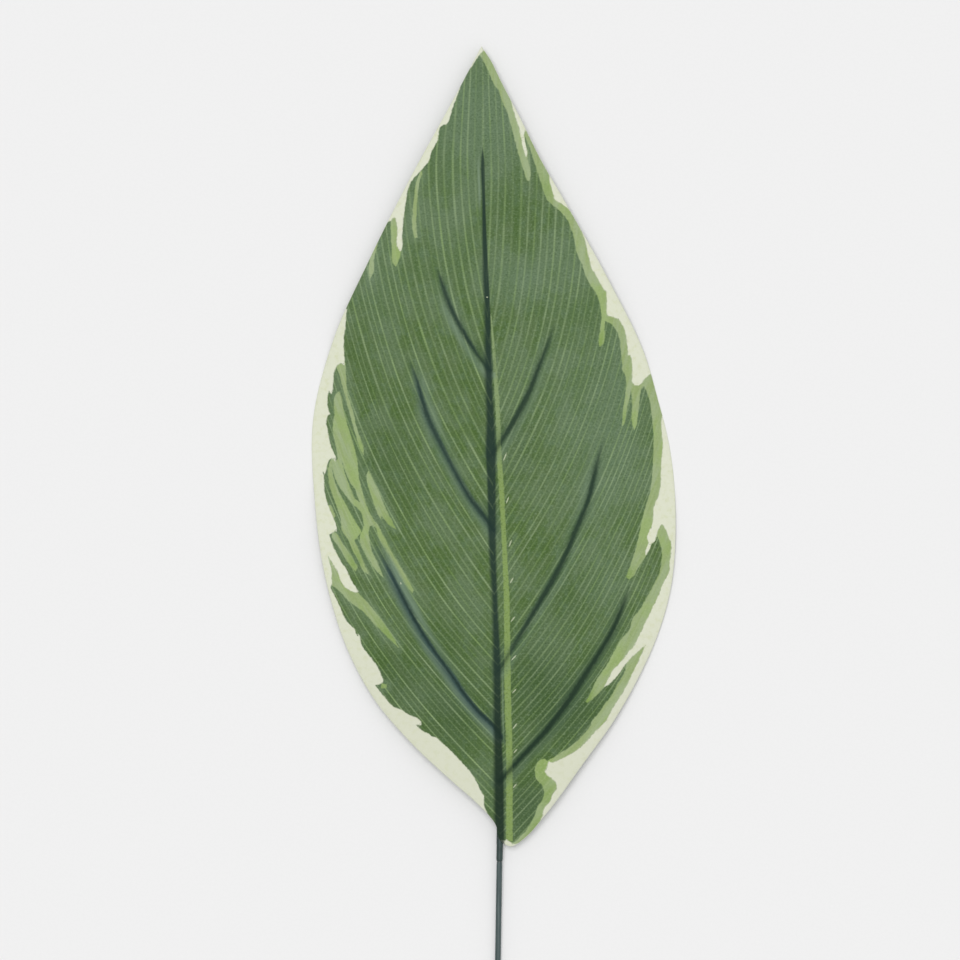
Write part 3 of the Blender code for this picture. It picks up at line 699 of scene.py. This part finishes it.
def to_edges(x, y, loops, leave=None):
    """Distance of each place from closed lines, leaving out the parts of them that lie on other lines."""
    dense = np.vstack([curve_through(np.vstack([loop, loop[:1]]), EDGE_SAMPLING) for loop in loops])
    if leave is not None:
        dense = dense[to_edges(*dense.T, leave) > PRINT_FRINGE]
    tree = KDTree(len(dense))
    for k, (a, b) in enumerate(dense.tolist()):
        tree.insert((a, b, 0.0), k)
    tree.balance()
    return np.array([tree.find((a, b, 0.0))[2] for a, b in zip(x.tolist(), y.tolist())])


def mark_print(cloth, shapes, top_count):
    """Stores on the cloth what its material reads: the print's fields, the veins, the shadows, half shadows
    and highlights painted round the ribs, and the spots.
    """
    mesh = cloth.data
    x, y, _ = (read_all(mesh.vertices, "co", np.float32, 3) / MM - SHIFT).T
    middles = (read_all(mesh.polygons, "center", np.float32, 3) / MM - SHIFT)[:, :2]
    starts = read_all(mesh.polygons, "loop_start", np.int32)
    totals = read_all(mesh.polygons, "loop_total", np.int32)
    corner_points = read_all(mesh.loops, "vertex_index", np.int32)

    in_any = {name: np.any([inside(middles, shape) for shape in group], axis=0)
              for name, group in shapes.items()}
    green = in_any["green"]
    face_number = np.arange(len(mesh.polygons))
    for name, values in (("cream", ~green), ("light", in_any["light"] & ~in_any["strips"] & green),
                         ("stripe", in_any["stripe"] & green), ("fleck", in_any["fleck"]),
                         ("back", (face_number >= top_count) & (face_number < 2 * top_count)),
                         ("rim", face_number >= 2 * top_count)):
        add_attribute(cloth, name, "FACE", values)
    corner_face = np.repeat(face_number, totals)
    for name, lines, leave in (("cream", shapes["green"], None), ("stripe", shapes["stripe"], None),
                               ("light", shapes["light"] + shapes["strips"], shapes["green"])):
        at_points = to_edges(x, y, lines, leave)[corner_points]
        widest = np.maximum.reduceat(at_points, starts)
        narrow = np.where(widest < NARROW, to_edges(*middles.T, lines, leave), 0.0)
        add_attribute(cloth, name + "_edge", "CORNER", at_points + narrow[corner_face])

    side = np.where(across_leaf(*middles.T) < 0, -1.0, 1.0)
    corner_side = np.repeat(side, totals)
    add_attribute(cloth, "vein", "CORNER", vein_value(x[corner_points], y[corner_points], corner_side))

    shade_left, shade_right = through(MIDRIB_SHADE, y).T
    mid_left = x - shade_left
    mid_right = shade_right - x
    soft_left, soft_right = through(MIDRIB_SOFTNESS, y).T
    add_attribute(cloth, "mid_left", "POINT", mid_left / soft_left)
    add_attribute(cloth, "mid_right", "POINT", mid_right / soft_right)
    from_mid = np.clip(-np.minimum(mid_left, mid_right), 0.0, None)

    nearest = np.argmin([read_line(*middles.T, line)[0] for line in SHADOW_LINES], axis=0)
    fields = {name: np.zeros(len(corner_points))
              for name in ("rib_inner", "rib_outer", "rib_depth", "rib_painted_shade", "rib_cool", "rib_painted_highlight")}
    for number, line in enumerate(SHADOW_LINES):
        gap, share, _ = read_line(x, y, line)
        outer = read_line(*middles.T, line)[2] * (1 if number < LEFT_RIBS else -1)
        mine = nearest[corner_face] == number
        points = corner_points[mine]
        centre, half, depth = through(RIB_SHADOWS[number], share[points]).T
        place = gap[points] * outer[corner_face[mine]]
        _, reach_out, reach_in, dim_depth, cool, highlight_in, highlight_out = RIB_SURROUNDS[number]
        inner_gap = centre - half - place
        outer_gap = place - centre - half
        fields["rib_inner"][mine] = -inner_gap
        fields["rib_outer"][mine] = -outer_gap
        fields["rib_depth"][mine] = np.clip(depth, 0.0, DEEPEST)
        fade = ramp(1 - share[points], 0, END_FADE)
        # Painted half shadow beside the rib's shadow, and painted shade in the corner by the midrib
        dim = dim_depth * fade * (1 - ramp(outer_gap, 0, reach_out)) ** DIM_POWER
        dim *= 1 - ramp(inner_gap, 0, reach_in)
        corner_gap = np.clip(inner_gap, 0, None) + from_mid[points]
        wedge_start, wedge_reach, wedge_depth = WEDGE
        wedge = wedge_depth * (1 - ramp(corner_gap, wedge_start, wedge_reach))
        wedge *= 1 - ramp(outer_gap, 0, WEDGE_PASS)
        fields["rib_painted_shade"][mine] = np.maximum(dim, wedge)
        fields["rib_cool"][mine] = np.where(dim >= wedge, cool, WEDGE_COOL)
        # Painted highlight on the cloth beyond the shadow
        beyond = np.maximum(inner_gap, outer_gap)
        bump = ramp(beyond, *HIGHLIGHT_START) * (1 - ramp(beyond, *HIGHLIGHT_FADE))
        inwards = highlight_in * np.clip(HIGHLIGHT_INWARDS[0] * share[points] + HIGHLIGHT_INWARDS[1], 0, 1)
        outwards = highlight_out * np.clip(HIGHLIGHT_OUTWARDS[0] * share[points] + HIGHLIGHT_OUTWARDS[1], 0, 1)
        fields["rib_painted_highlight"][mine] = bump * fade * np.where(inner_gap > outer_gap, inwards, outwards)
    for name, values in fields.items():
        add_attribute(cloth, name, "CORNER", values)
    for name, places in (("blue", BLUE_SPOTS), ("deep", DEEP_SPOTS), ("tip", TIP_SPOTS)):
        add_attribute(cloth, name, "POINT", spots(x, y, places))


# Moulded frame, stem and wire


def ring_body(rings, closed=False):
    """Points and faces through rings of points. The ends are capped, or joined to each other where closed."""
    sides = len(rings[0])
    count = len(rings)
    faces = []
    for r in range(count if closed else count - 1):
        n = (r + 1) % count
        for s in range(sides):
            t = (s + 1) % sides
            faces.append((r * sides + s, r * sides + t, n * sides + t, n * sides + s))
    if not closed:
        faces.append(tuple(reversed(range(sides))))
        faces.append(tuple((count - 1) * sides + s for s in range(sides)))
    return [point for ring in rings for point in ring], faces


RIB_SIDES = 14                  # round the lower, rounded part of a rib
RIB_TIP = 1.6                   # length of a rib's rounded end
RIB_END = 0.02                  # share of that length where a rib stops, so that its end isn't a point
RIB_FULLNESS = 0.8              # below 1, a rib's section is fuller than a half ellipse
WELD = 0.06                     # how far the frame reaches into the cloth that it is bonded to


def rib_body(line, half_widths, depths):
    """Points and faces of one rib: flat against the cloth, rounded below, with a rounded end."""
    share = np.linspace(0.0, 1.0, len(line))
    length = np.linalg.norm(np.diff(line, axis=0), axis=1).sum()
    to_end = np.clip((1 - share) * length / RIB_TIP, RIB_END, 1.0)
    taper = np.sqrt(1 - (1 - to_end) ** 2)
    half = (half_widths[0] + (half_widths[1] - half_widths[0]) * share) * taper
    depth = (depths[0] + (depths[1] - depths[0]) * share) * taper
    angles = np.linspace(0.0, math.pi, RIB_SIDES + 1)
    corners = []
    for angle in angles:
        places = beside(line, math.cos(angle) * half)
        down = math.sin(angle) ** RIB_FULLNESS if 0 < angle < math.pi else 0.0
        corners.append(np.column_stack([places, underside(places) + WELD - down * depth]))
    return ring_body(list(zip(*corners)))


def stem_axis(y):
    """The middle of the stem at the places asked for, as in part.py."""
    y = np.asarray(y, float)
    x = x_along(STEM_LINE, y)
    seat = underside([(0.0, SOCKET_SEAT)])[0] - FIT_GAP - SOCKET_RADIUS
    share = np.clip((y - STEM_LIFT_START) / (SOCKET_SEAT - STEM_LIFT_START), 0.0, None)
    return np.column_stack([x, y, COVER_RADIUS + (seat - COVER_RADIUS) * share ** 2])


def round_rings(axis, radii, sides):
    """Rings round a line of points."""
    rings = []
    for point, direction, radius in zip(axis, directions(axis), radii):
        side = np.cross(direction, (0.0, 0.0, 1.0))
        side /= np.linalg.norm(side)
        up = np.cross(side, direction)
        angles = np.arange(sides) * 2 * math.pi / sides
        rings.append([point + radius * (math.cos(a) * side + math.sin(a) * up) for a in angles])
    return rings


SOCKET_SIDES = 28
SOCKET_STEP = 0.35
FRAME_VOXEL = 0.22
FRAME_SMOOTHING = 5


def joined(name, bodies):
    """One object of several closed bodies, in millimetres."""
    vertices = []
    faces = []
    for body_points, body_faces in bodies:
        first = len(vertices)
        vertices += [tuple(p) for p in body_points]
        faces += [tuple(first + k for k in face) for face in body_faces]
    mesh = bpy.data.meshes.new(name)
    mesh.from_pydata(vertices, [], faces)
    return placed(name, mesh)


def make_frame(mat):
    """The moulding: ribs and socket grown together, with small fillets where they meet."""
    bodies = [rib_body(RIB_LINES[0], MIDRIB_HALF_WIDTH, MIDRIB_DEPTH)]
    bodies += [rib_body(line, SIDE_RIB_HALF_WIDTH, SIDE_RIB_DEPTH) for line in RIB_LINES[1:]]
    stations = np.arange(SOCKET_PROFILE[0][0], SOCKET_PROFILE[-1][0] + SOCKET_STEP / 2, SOCKET_STEP)
    radii = np.interp(stations, [p[0] for p in SOCKET_PROFILE], [p[1] for p in SOCKET_PROFILE])
    rings = round_rings(stem_axis(stations), radii, SOCKET_SIDES)
    bodies.append(ring_body(rings))
    rough = joined("frame_body", bodies)
    remesh = rough.modifiers.new("grown", "REMESH")
    remesh.mode = "VOXEL"
    remesh.voxel_size = FRAME_VOXEL
    soften = rough.modifiers.new("fillets", "SMOOTH")
    soften.factor = 0.5
    soften.iterations = FRAME_SMOOTHING
    graph = bpy.context.evaluated_depsgraph_get()
    mesh = rough.evaluated_get(graph).to_mesh()
    vertices = [tuple(v.co) for v in mesh.vertices]
    faces = [tuple(p.vertices) for p in mesh.polygons]
    bpy.data.objects.remove(rough)
    return new_piece("leaf_frame", vertices, faces, mat, sharp_angle=70.0)


COVER_SIDES = 32
COVER_STEP = 1.2
COVER_UNEVEN = 0.012            # how much the extruded cover's radius varies
COVER_WAVES = (5.3, 13.7)       # over what lengths it does
LIP = 0.08                      # rounding at the cover's ends


def make_stem_cover(mat):
    """The extruded cover: a tube with slightly uneven walls and cut ends that show its bore."""
    stations = np.linspace(COVER_START, COVER_END, round((COVER_END - COVER_START) / COVER_STEP) + 1)
    wave = np.sin(stations / COVER_WAVES[0]) * np.sin(stations / COVER_WAVES[1])
    outer = COVER_RADIUS * (1 - COVER_UNEVEN * (1 + wave) / 2)
    outer[0] -= LIP
    outer[-1] -= LIP
    axis = stem_axis(stations)
    outside = round_rings(axis, outer, COVER_SIDES)
    bore = round_rings(axis, np.full(len(axis), COVER_BORE), COVER_SIDES)
    return new_piece("stem_tube", *ring_body(outside + bore[::-1], closed=True), mat)


WIRE_SIDES = 24
WIRE_PINCH = [(0.0, 0.55), (0.25, 0.8), (0.6, 0.95), (1.0, 1.0)]    # share of its radius near the cut end


def make_wire(mat):
    """The steel wire in the stem, pinched where it was cut."""
    near = np.array([p[0] for p in WIRE_PINCH])
    far = np.arange(near[-1] + COVER_STEP, WIRE_END - WIRE_START, COVER_STEP)
    stations = WIRE_START + np.concatenate([near, far])
    radii = WIRE_RADIUS * np.interp(stations - WIRE_START, near, [p[1] for p in WIRE_PINCH])
    return new_piece("wire_core", *ring_body(round_rings(stem_axis(stations), radii, WIRE_SIDES)), mat)


# Materials


def srgb(red, green, blue):
    """A colour from 8-bit screen values, as the shaders read it."""
    shares = [c / 255 for c in (red, green, blue)]
    return (*[s / 12.92 if s <= 0.04045 else ((s + 0.055) / 1.055) ** 2.4 for s in shares], 1.0)


class Surface:
    """A Principled material, with short calls for the nodes that colour it."""

    def __init__(self, name, **settings):
        self.material = bpy.data.materials.new(name)
        self.material.use_nodes = True
        self.tree = self.material.node_tree
        self.shader = self.tree.nodes["Principled BSDF"]
        for socket, value in settings.items():
            self.shader.inputs[socket.replace("_", " ")].default_value = value

    def put(self, socket, value):
        if isinstance(value, bpy.types.NodeSocket):
            self.tree.links.new(value, socket)
        else:
            socket.default_value = value

    def set(self, name, value):
        self.put(self.shader.inputs[name], value)

    def attribute(self, name):
        node = self.tree.nodes.new("ShaderNodeAttribute")
        node.attribute_name = name
        return node.outputs["Fac"]

    def place(self):
        """The object's own coordinates, in millimetres, as three values."""
        where = self.tree.nodes.new("ShaderNodeTexCoord").outputs["Object"]
        scaled = self.tree.nodes.new("ShaderNodeVectorMath")
        scaled.operation = "SCALE"
        self.put(scaled.inputs[0], where)
        scaled.inputs["Scale"].default_value = 1 / MM
        split = self.tree.nodes.new("ShaderNodeSeparateXYZ")
        self.put(split.inputs[0], scaled.outputs[0])
        return split.outputs

    def calc(self, operation, *values):
        node = self.tree.nodes.new("ShaderNodeMath")
        node.operation = operation
        for socket, value in zip(node.inputs, values):
            self.put(socket, value)
        return node.outputs[0]

    def times(self, product, *others):
        """The product of all the values."""
        for other in others:
            product = self.calc("MULTIPLY", product, other)
        return product

    def noise(self, places, detail, roughness):
        """Noise over three places, each a value or a value and its scale."""
        where = self.tree.nodes.new("ShaderNodeCombineXYZ")
        for socket, place in zip(where.inputs, places):
            self.put(socket, self.times(*place) if isinstance(place, tuple) else place)
        node = self.tree.nodes.new("ShaderNodeTexNoise")
        node.inputs["Scale"].default_value = 1.0
        node.inputs["Detail"].default_value = detail
        node.inputs["Roughness"].default_value = roughness
        self.put(node.inputs["Vector"], where.outputs[0])
        return node.outputs["Fac"]

    def random(self, value):
        node = self.tree.nodes.new("ShaderNodeTexWhiteNoise")
        node.noise_dimensions = "1D"
        self.put(node.inputs["W"], value)
        return node.outputs["Value"]

    def spread(self, value, low, high, to_low=0.0, to_high=1.0, soft=True):
        """Maps low..high to the given range, and holds it beyond."""
        node = self.tree.nodes.new("ShaderNodeMapRange")
        node.interpolation_type = "SMOOTHSTEP" if soft else "LINEAR"
        for name, setting in (("Value", value), ("From Min", low), ("From Max", high),
                              ("To Min", to_low), ("To Max", to_high)):
            self.put(node.inputs[name], setting)
        return node.outputs["Result"]

    def mix(self, share, first, second):
        node = self.tree.nodes.new("ShaderNodeMix")
        node.data_type = "RGBA"
        self.put(node.inputs[0], share)
        self.put(node.inputs[6], first)
        self.put(node.inputs[7], second)
        return node.outputs[2]

    def bump(self, height, distance, strength):
        node = self.tree.nodes.new("ShaderNodeBump")
        node.inputs["Strength"].default_value = strength
        node.inputs["Distance"].default_value = distance
        self.put(node.inputs["Height"], height)
        self.put(self.shader.inputs["Normal"], node.outputs[0])


# Colours of the cloth, as 8-bit screen values: its print, its back and cut edge, the shadows of the ribs and
# the midrib, partly the frame seen through the cloth and partly painted shade, the painted half shadows and
# highlights beside them, and the shade painted between the threads
CLOTH_COLOURS = {
    "green": (76, 103, 49), "green_streak": (90, 112, 70), "green_blotch": (90, 115, 81),
    "green_pale": (100, 121, 89), "green_dark": (70, 98, 44), "green_blue": (105, 127, 101),
    "green_deep": (58, 84, 46), "beside_light": (118, 140, 110),
    "light": (147, 166, 111), "light_streak": (157, 174, 133), "light_mottle": (149, 174, 104),
    "light_tip": (126, 154, 78), "stripe": (131, 155, 89), "stripe_pale": (134, 155, 107),
    "pale_speck": (132, 152, 122), "pale_speck_on_light": (168, 185, 136), "dark_speck": (46, 68, 36),
    "vein": (148, 174, 112), "vein_streak": (160, 181, 138), "vein_on_light": (176, 192, 144),
    "cream": (221, 224, 203), "cream_stain": (214, 218, 188), "cream_foot": (208, 210, 190),
    "rim": (214, 220, 200), "fleck": (204, 211, 180), "rib_painted_highlight": (114, 136, 116),
    "rib_painted_shade": (54, 78, 50), "rib_painted_shade_cool": (54, 77, 83), "rib": (25, 47, 31), "rib_cool": (26, 48, 43),
    "midrib_foot": (15, 37, 28), "midrib": (25, 47, 42), "back": (178, 190, 168),
    "shade_between_threads": (60, 78, 52),
}
# The print's noises: how often each changes in a millimetre across the leaf or its veins and along it, which
# slice of the noise it takes, its detail and its roughness
NOISES = {
    "drift": (0.1, 0.006, 23.0, 1.0, 0.5), "ragged": (0.9, 0.6, 31.0, 2.0, 0.6),
    "streak": (0.3, 0.05, 3.0, 4.0, 0.65), "mottle": (0.07, 0.05, 7.0, 4.0, 0.6),
    "blotch": (0.33, 0.25, 11.0, 3.0, 0.6), "grain": (1.15, 1.3, 17.0, 2.0, 0.7),
    "along_vein": (3.7, 0.07, 1.0, 2.0, 0.6), "stain": (0.5, 0.5, 5.0, 2.0, 0.6),
}
EDGE_RAGGED = 0.18              # how far a printed edge strays
VEIN_DRAW = 0.37                # where each vein's chance is drawn
THREAD = 0.42                   # between the cloth's threads
BEAD = 2 * THREAD               # between the beads of a vein
WEAVE_RELIEF = 0.05             # depth of the bumps on the cloth


def cloth_material():
    s = Surface("printed_cloth", Roughness=0.85, Specular_IOR_Level=0.2)
    x, y, _ = s.place()
    colour_of = {name: srgb(*screen) for name, screen in CLOTH_COLOURS.items()}

    def print_noise(name, across):
        scale_across, scale_along, part, detail, roughness = NOISES[name]
        return s.noise([(across, scale_across), (y, scale_along), part], detail, roughness)

    vein = s.attribute("vein")
    drift = print_noise("drift", vein)
    vein = s.calc("ADD", vein, s.spread(drift, 0.2, 0.8, -VEIN_DRIFT, VEIN_DRIFT, soft=False))
    number = s.calc("ROUND", s.calc("DIVIDE", vein, VEIN_SPACING))
    from_vein = s.calc("ABSOLUTE", s.calc("SUBTRACT", vein, s.times(number, VEIN_SPACING)))

    # The print's fields, with soft, slightly ragged edges
    ragged = s.spread(print_noise("ragged", x), 0.3, 0.7, -EDGE_RAGGED, EDGE_RAGGED, soft=False)
    fields = {}
    for name in ("cream", "light", "stripe"):
        way = s.spread(s.attribute(name), 0.0, 1.0, -1.0, 1.0, soft=False)
        depth = s.calc("ADD", s.times(way, s.attribute(name + "_edge")), ragged)
        fields[name] = s.spread(depth, -PRINT_SOFTNESS, PRINT_SOFTNESS)
    is_light = fields["light"]

    # Green ground: streaks along the veins, soft spots and a mottle
    streak = print_noise("streak", vein)
    mottle = print_noise("mottle", x)
    blotch = print_noise("blotch", x)
    ground = s.mix(s.spread(streak, 0.34, 0.66), colour_of["green"], colour_of["green_streak"])
    ground = s.mix(s.spread(blotch, 0.45, 0.7, 0.0, 0.75), ground, colour_of["green_blotch"])
    ground = s.mix(s.spread(mottle, 0.45, 0.62, 0.0, 0.65), ground, colour_of["green_pale"])
    ground = s.mix(s.spread(mottle, 0.3, 0.47, 0.5, 0.0), ground, colour_of["green_dark"])
    # Bluer and deeper green spots: partly the print's tone, partly a painted sheen and painted shade
    ground = s.mix(s.times(s.attribute("blue"), 0.75), ground, colour_of["green_blue"])
    ground = s.mix(s.times(s.attribute("deep"), 0.88), ground, colour_of["green_deep"])
    on_left = s.calc("LESS_THAN", vein, 0.0)
    by_light = s.times(s.spread(s.attribute("light_edge"), 0.8, 3.0, 0.3, 0.0), on_left)
    ground = s.mix(by_light, ground, colour_of["beside_light"])

    # Light green, the stripe, and pale and dark specks over all of the green
    light = s.mix(s.spread(streak, 0.36, 0.64), colour_of["light"], colour_of["light_streak"])
    light = s.mix(s.spread(mottle, 0.36, 0.5, 0.6, 0.0), light, colour_of["light_mottle"])
    light = s.mix(s.attribute("tip"), light, colour_of["light_tip"])
    colour = s.mix(is_light, ground, light)
    stripe = s.mix(s.spread(y, *STRIPE_PALING), colour_of["stripe"], colour_of["stripe_pale"])
    colour = s.mix(fields["stripe"], colour, stripe)
    grain = print_noise("grain", x)
    pale_share = s.times(s.spread(grain, 0.5, 0.75, 0.0, 0.45), s.spread(on_left, 0.0, 1.0, 1.0, 0.7))
    pale_speck = s.mix(is_light, colour_of["pale_speck"], colour_of["pale_speck_on_light"])
    colour = s.mix(pale_share, colour, pale_speck)
    dark_share = s.times(s.spread(grain, 0.25, 0.5, 0.48, 0.0), s.spread(is_light, 0.0, 1.0, 1.0, 0.25))
    colour = s.mix(dark_share, colour, colour_of["dark_speck"])

    # Veins: on the left of the leaf's lower part every second one is bright; each fades in and out along its
    # way and is beaded by the weave
    even = s.spread(s.calc("FLOORED_MODULO", number, 2.0), 0.0, 1.0, 1.0, -1.0, soft=False)
    contrast = s.calc("ADD", s.times(on_left, s.spread(y, *UPPER_PART, 0.3, 0.0)), 0.1)
    beads = s.calc("SINE", s.times(y, 2 * math.pi / BEAD))
    strength = s.times(
        s.spread(s.random(s.calc("ADD", number, VEIN_DRAW)), 0.0, 1.0, 0.15, 0.46, soft=False),
        s.calc("MULTIPLY_ADD", even, contrast, 1.0),
        s.spread(print_noise("along_vein", number), 0.3, 0.62, 0.6, 1.25),
        s.spread(is_light, 0.0, 1.0, 1.0, 0.35),
        s.spread(beads, -1.0, 1.0, 0.75, 1.1, soft=False),
    )
    vein_line = s.times(s.spread(from_vein, 0.02, 0.6, 0.97, 0.0), strength)
    vein_colour = s.mix(s.spread(streak, 0.35, 0.65), colour_of["vein"], colour_of["vein_streak"])
    vein_colour = s.mix(is_light, vein_colour, colour_of["vein_on_light"])
    not_stripe = s.calc("SUBTRACT", 1.0, fields["stripe"])
    colour = s.mix(s.times(vein_line, not_stripe), colour, vein_colour)

    # Cream margin, paler where it was cut
    cream = s.mix(s.spread(print_noise("stain", x), 0.45, 0.75), colour_of["cream"], colour_of["cream_stain"])
    cream = s.mix(s.spread(y, *FOOT_PART, 0.45, 0.0), cream, colour_of["cream_foot"])
    colour = s.mix(fields["cream"], colour, cream)
    colour = s.mix(s.times(s.attribute("rim"), 0.6), colour, colour_of["rim"])
    fleck = s.times(s.attribute("fleck"), 0.62)
    printed = s.mix(fleck, colour, colour_of["fleck"])

    # The frame behind shows through, and light on the cloth is painted: the ribs' dark shadows, partly the
    # frame seen through the cloth and partly painted shade, a painted half shadow beside them, and a painted
    # highlight on the cloth beyond
    on_stripe = s.spread(fields["stripe"], 0.0, 1.0, 1.0, 0.72)
    rib_cool = s.attribute("rib_cool")
    # Painted highlight beside the ribs
    colour = s.mix(s.attribute("rib_painted_highlight"), colour, colour_of["rib_painted_highlight"])
    # Painted half shadow and corner shade beside the ribs
    rib_painted_shade = s.mix(rib_cool, colour_of["rib_painted_shade"], colour_of["rib_painted_shade_cool"])
    colour = s.mix(s.times(s.attribute("rib_painted_shade"), on_stripe), colour, rib_painted_shade)
    # The ribs' shadows: partly the frame seen through the cloth, partly painted shade
    rib_share = s.times(
        s.spread(s.calc("ADD", s.attribute("rib_inner"), ragged), -0.6, 0.55),
        s.spread(s.calc("SUBTRACT", s.attribute("rib_outer"), ragged), -0.65, 0.6),
        s.attribute("rib_depth"), 0.88, on_stripe,
    )
    colour = s.mix(rib_share, colour, s.mix(rib_cool, colour_of["rib"], colour_of["rib_cool"]))
    # The midrib's shadow: partly the frame seen through the cloth, partly painted shade
    mid_colour = s.mix(s.spread(y, *MID_DEEP), colour_of["midrib_foot"], colour_of["midrib"])
    on_vein = s.spread(y, *MID_DEEP, 0.9, 0.8)
    mid_share = s.times(
        s.times(*[s.spread(s.attribute(name), -1.0, 1.0) for name in ("mid_left", "mid_right")]),
        s.spread(vein_line, 0.0, 0.5, 0.91, on_vein),
    )
    colour = s.mix(mid_share, colour, mid_colour)
    # Painted highlights beside the midrib's shadow
    for name, across, ends, pale in MID_HIGHLIGHTS:
        edge = s.attribute(name)
        mid_highlight = s.times(
            s.spread(y, *ends[:2]), s.spread(y, *ends[2:], 0.6, 0.0),
            s.spread(edge, *across[:2]), s.spread(edge, *across[2:], 1.0, 0.0),
        )
        colour = s.mix(mid_highlight, colour, srgb(*pale))
    colour = s.mix(fleck, colour, colour_of["fleck"])

    # The back is paler, and the print shows through it
    colour = s.mix(s.attribute("back"), colour, s.mix(0.55, printed, colour_of["back"]))

    # Weave: shade painted between the threads, and bumps
    weave = s.times(*[s.calc("SINE", s.times(place, 2 * math.pi / THREAD)) for place in (x, y)])
    shade = s.spread(weave, -1.0, 1.0, 0.0, 0.12, soft=False)
    s.set("Base Color", s.mix(shade, colour, colour_of["shade_between_threads"]))
    s.bump(s.calc("ADD", weave, s.times(vein_line, 0.8)), WEAVE_RELIEF * MM, 0.6)
    return s.material


PLASTIC_RELIEF = 0.02           # depth of the plastic's grain


def plastic_material(name, dark, pale, roughness, along):
    """Moulded or extruded plastic: a soft mottle, drawn out along the stem where asked, and fine grain."""
    s = Surface(name, Specular_IOR_Level=0.45)
    x, y, z = s.place()
    mottle = s.noise([(x, 1.3), (y, along), (z, 1.3)], 3.0, 0.6)
    grain = s.noise([(x, 9.0), (y, 5.0), (z, 9.0)], 2.0, 0.6)
    s.set("Base Color", s.mix(s.spread(mottle, 0.35, 0.65), dark, pale))
    s.set("Roughness", s.spread(grain, 0.3, 0.7, roughness - 0.07, roughness + 0.1))
    s.bump(grain, PLASTIC_RELIEF * MM, 0.5)
    return s.material


def wire_material():
    s = Surface("steel_wire", Metallic=1.0)
    x, y, z = s.place()
    scratch = s.noise([(x, 12.0), (y, 0.6), (z, 12.0)], 3.0, 0.7)
    s.set("Base Color", s.mix(s.spread(scratch, 0.35, 0.65), srgb(150, 150, 148), srgb(190, 190, 186)))
    s.set("Roughness", s.spread(scratch, 0.3, 0.7, 0.3, 0.5))
    return s.material


# Surroundings


FLOOR_HALF = 3.0                # metres
SKY_STRENGTH = 0.5


def make_floor():
    mesh = bpy.data.meshes.new("floor")
    corners = [(x * FLOOR_HALF, y * FLOOR_HALF, 0) for x, y in ((-1, -1), (1, -1), (1, 1), (-1, 1))]
    mesh.from_pydata(corners, [], [(0, 1, 2, 3)])
    s = Surface("pale_floor", Roughness=0.95, Specular_IOR_Level=0.1)
    speck = s.noise([*s.place()[:2], 0.0], 2.0, 0.5)
    s.set("Base Color", s.mix(speck, srgb(228, 228, 228), srgb(231, 231, 231)))
    mesh.materials.append(s.material)
    placed("floor", mesh)


def add_sun(name, lean, turn, strength, softness):
    """A soft light from a direction: lean from straight up and turn about +Z, in degrees."""
    data = bpy.data.lights.new(name, "SUN")
    data.energy = strength
    data.angle = math.radians(softness)
    placed(name, data).rotation_euler = (math.radians(lean), 0.0, math.radians(turn))


def light_scene():
    world = bpy.data.worlds.new("studio")
    world.use_nodes = True
    background = world.node_tree.nodes["Background"]
    background.inputs["Color"].default_value = (1.0, 1.0, 1.0, 1.0)
    background.inputs["Strength"].default_value = SKY_STRENGTH
    bpy.context.scene.world = world
    add_sun("key", lean=14.0, turn=215.0, strength=1.67, softness=40.0)
    add_sun("fill", lean=40.0, turn=60.0, strength=0.4, softness=90.0)
    bpy.context.scene.view_settings.view_transform = "Standard"


PHOTO_WIDTH = 960 * PIXEL       # what the photo's frame shows, side to side
PHOTO_MIDDLE = (-7.3, 128.5)
CAMERA_HEIGHT = 2000.0
SENSOR = 36.0
VIEW_END = 20.0                 # metres


def add_camera():
    """Straight above the leaf, through a long lens, with the stem running out of the frame's lower edge."""
    data = bpy.data.cameras.new("camera")
    data.sensor_width = SENSOR
    data.lens = SENSOR * CAMERA_HEIGHT / PHOTO_WIDTH
    data.clip_end = VIEW_END
    camera = placed("camera", data)
    camera.location = Vector((*PHOTO_MIDDLE, CAMERA_HEIGHT)) * MM + Vector(SHIFT) * MM
    bpy.context.scene.camera = camera


add_camera()
light_scene()
make_floor()

rib_plastic = plastic_material("rib_plastic", srgb(33, 50, 48), srgb(47, 67, 63), 0.42, 0.3)
stem_plastic = plastic_material("stem_plastic", srgb(54, 70, 70), srgb(75, 91, 90), 0.45, 0.06)
cloth, cloth_area = make_cloth(cloth_material())
leaf_frame = make_frame(rib_plastic)
stem_tube = make_stem_cover(stem_plastic)
wire_core = make_wire(wire_material())

for piece, node, slot in ((cloth, "blade", "printed_cloth"), (leaf_frame, "rib_frame", "rib_plastic"),
                          (stem_tube, "stem_cover", "stem_plastic"), (wire_core, "stem_wire", "steel_wire")):
    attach(piece, BODY)
    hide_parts(node)
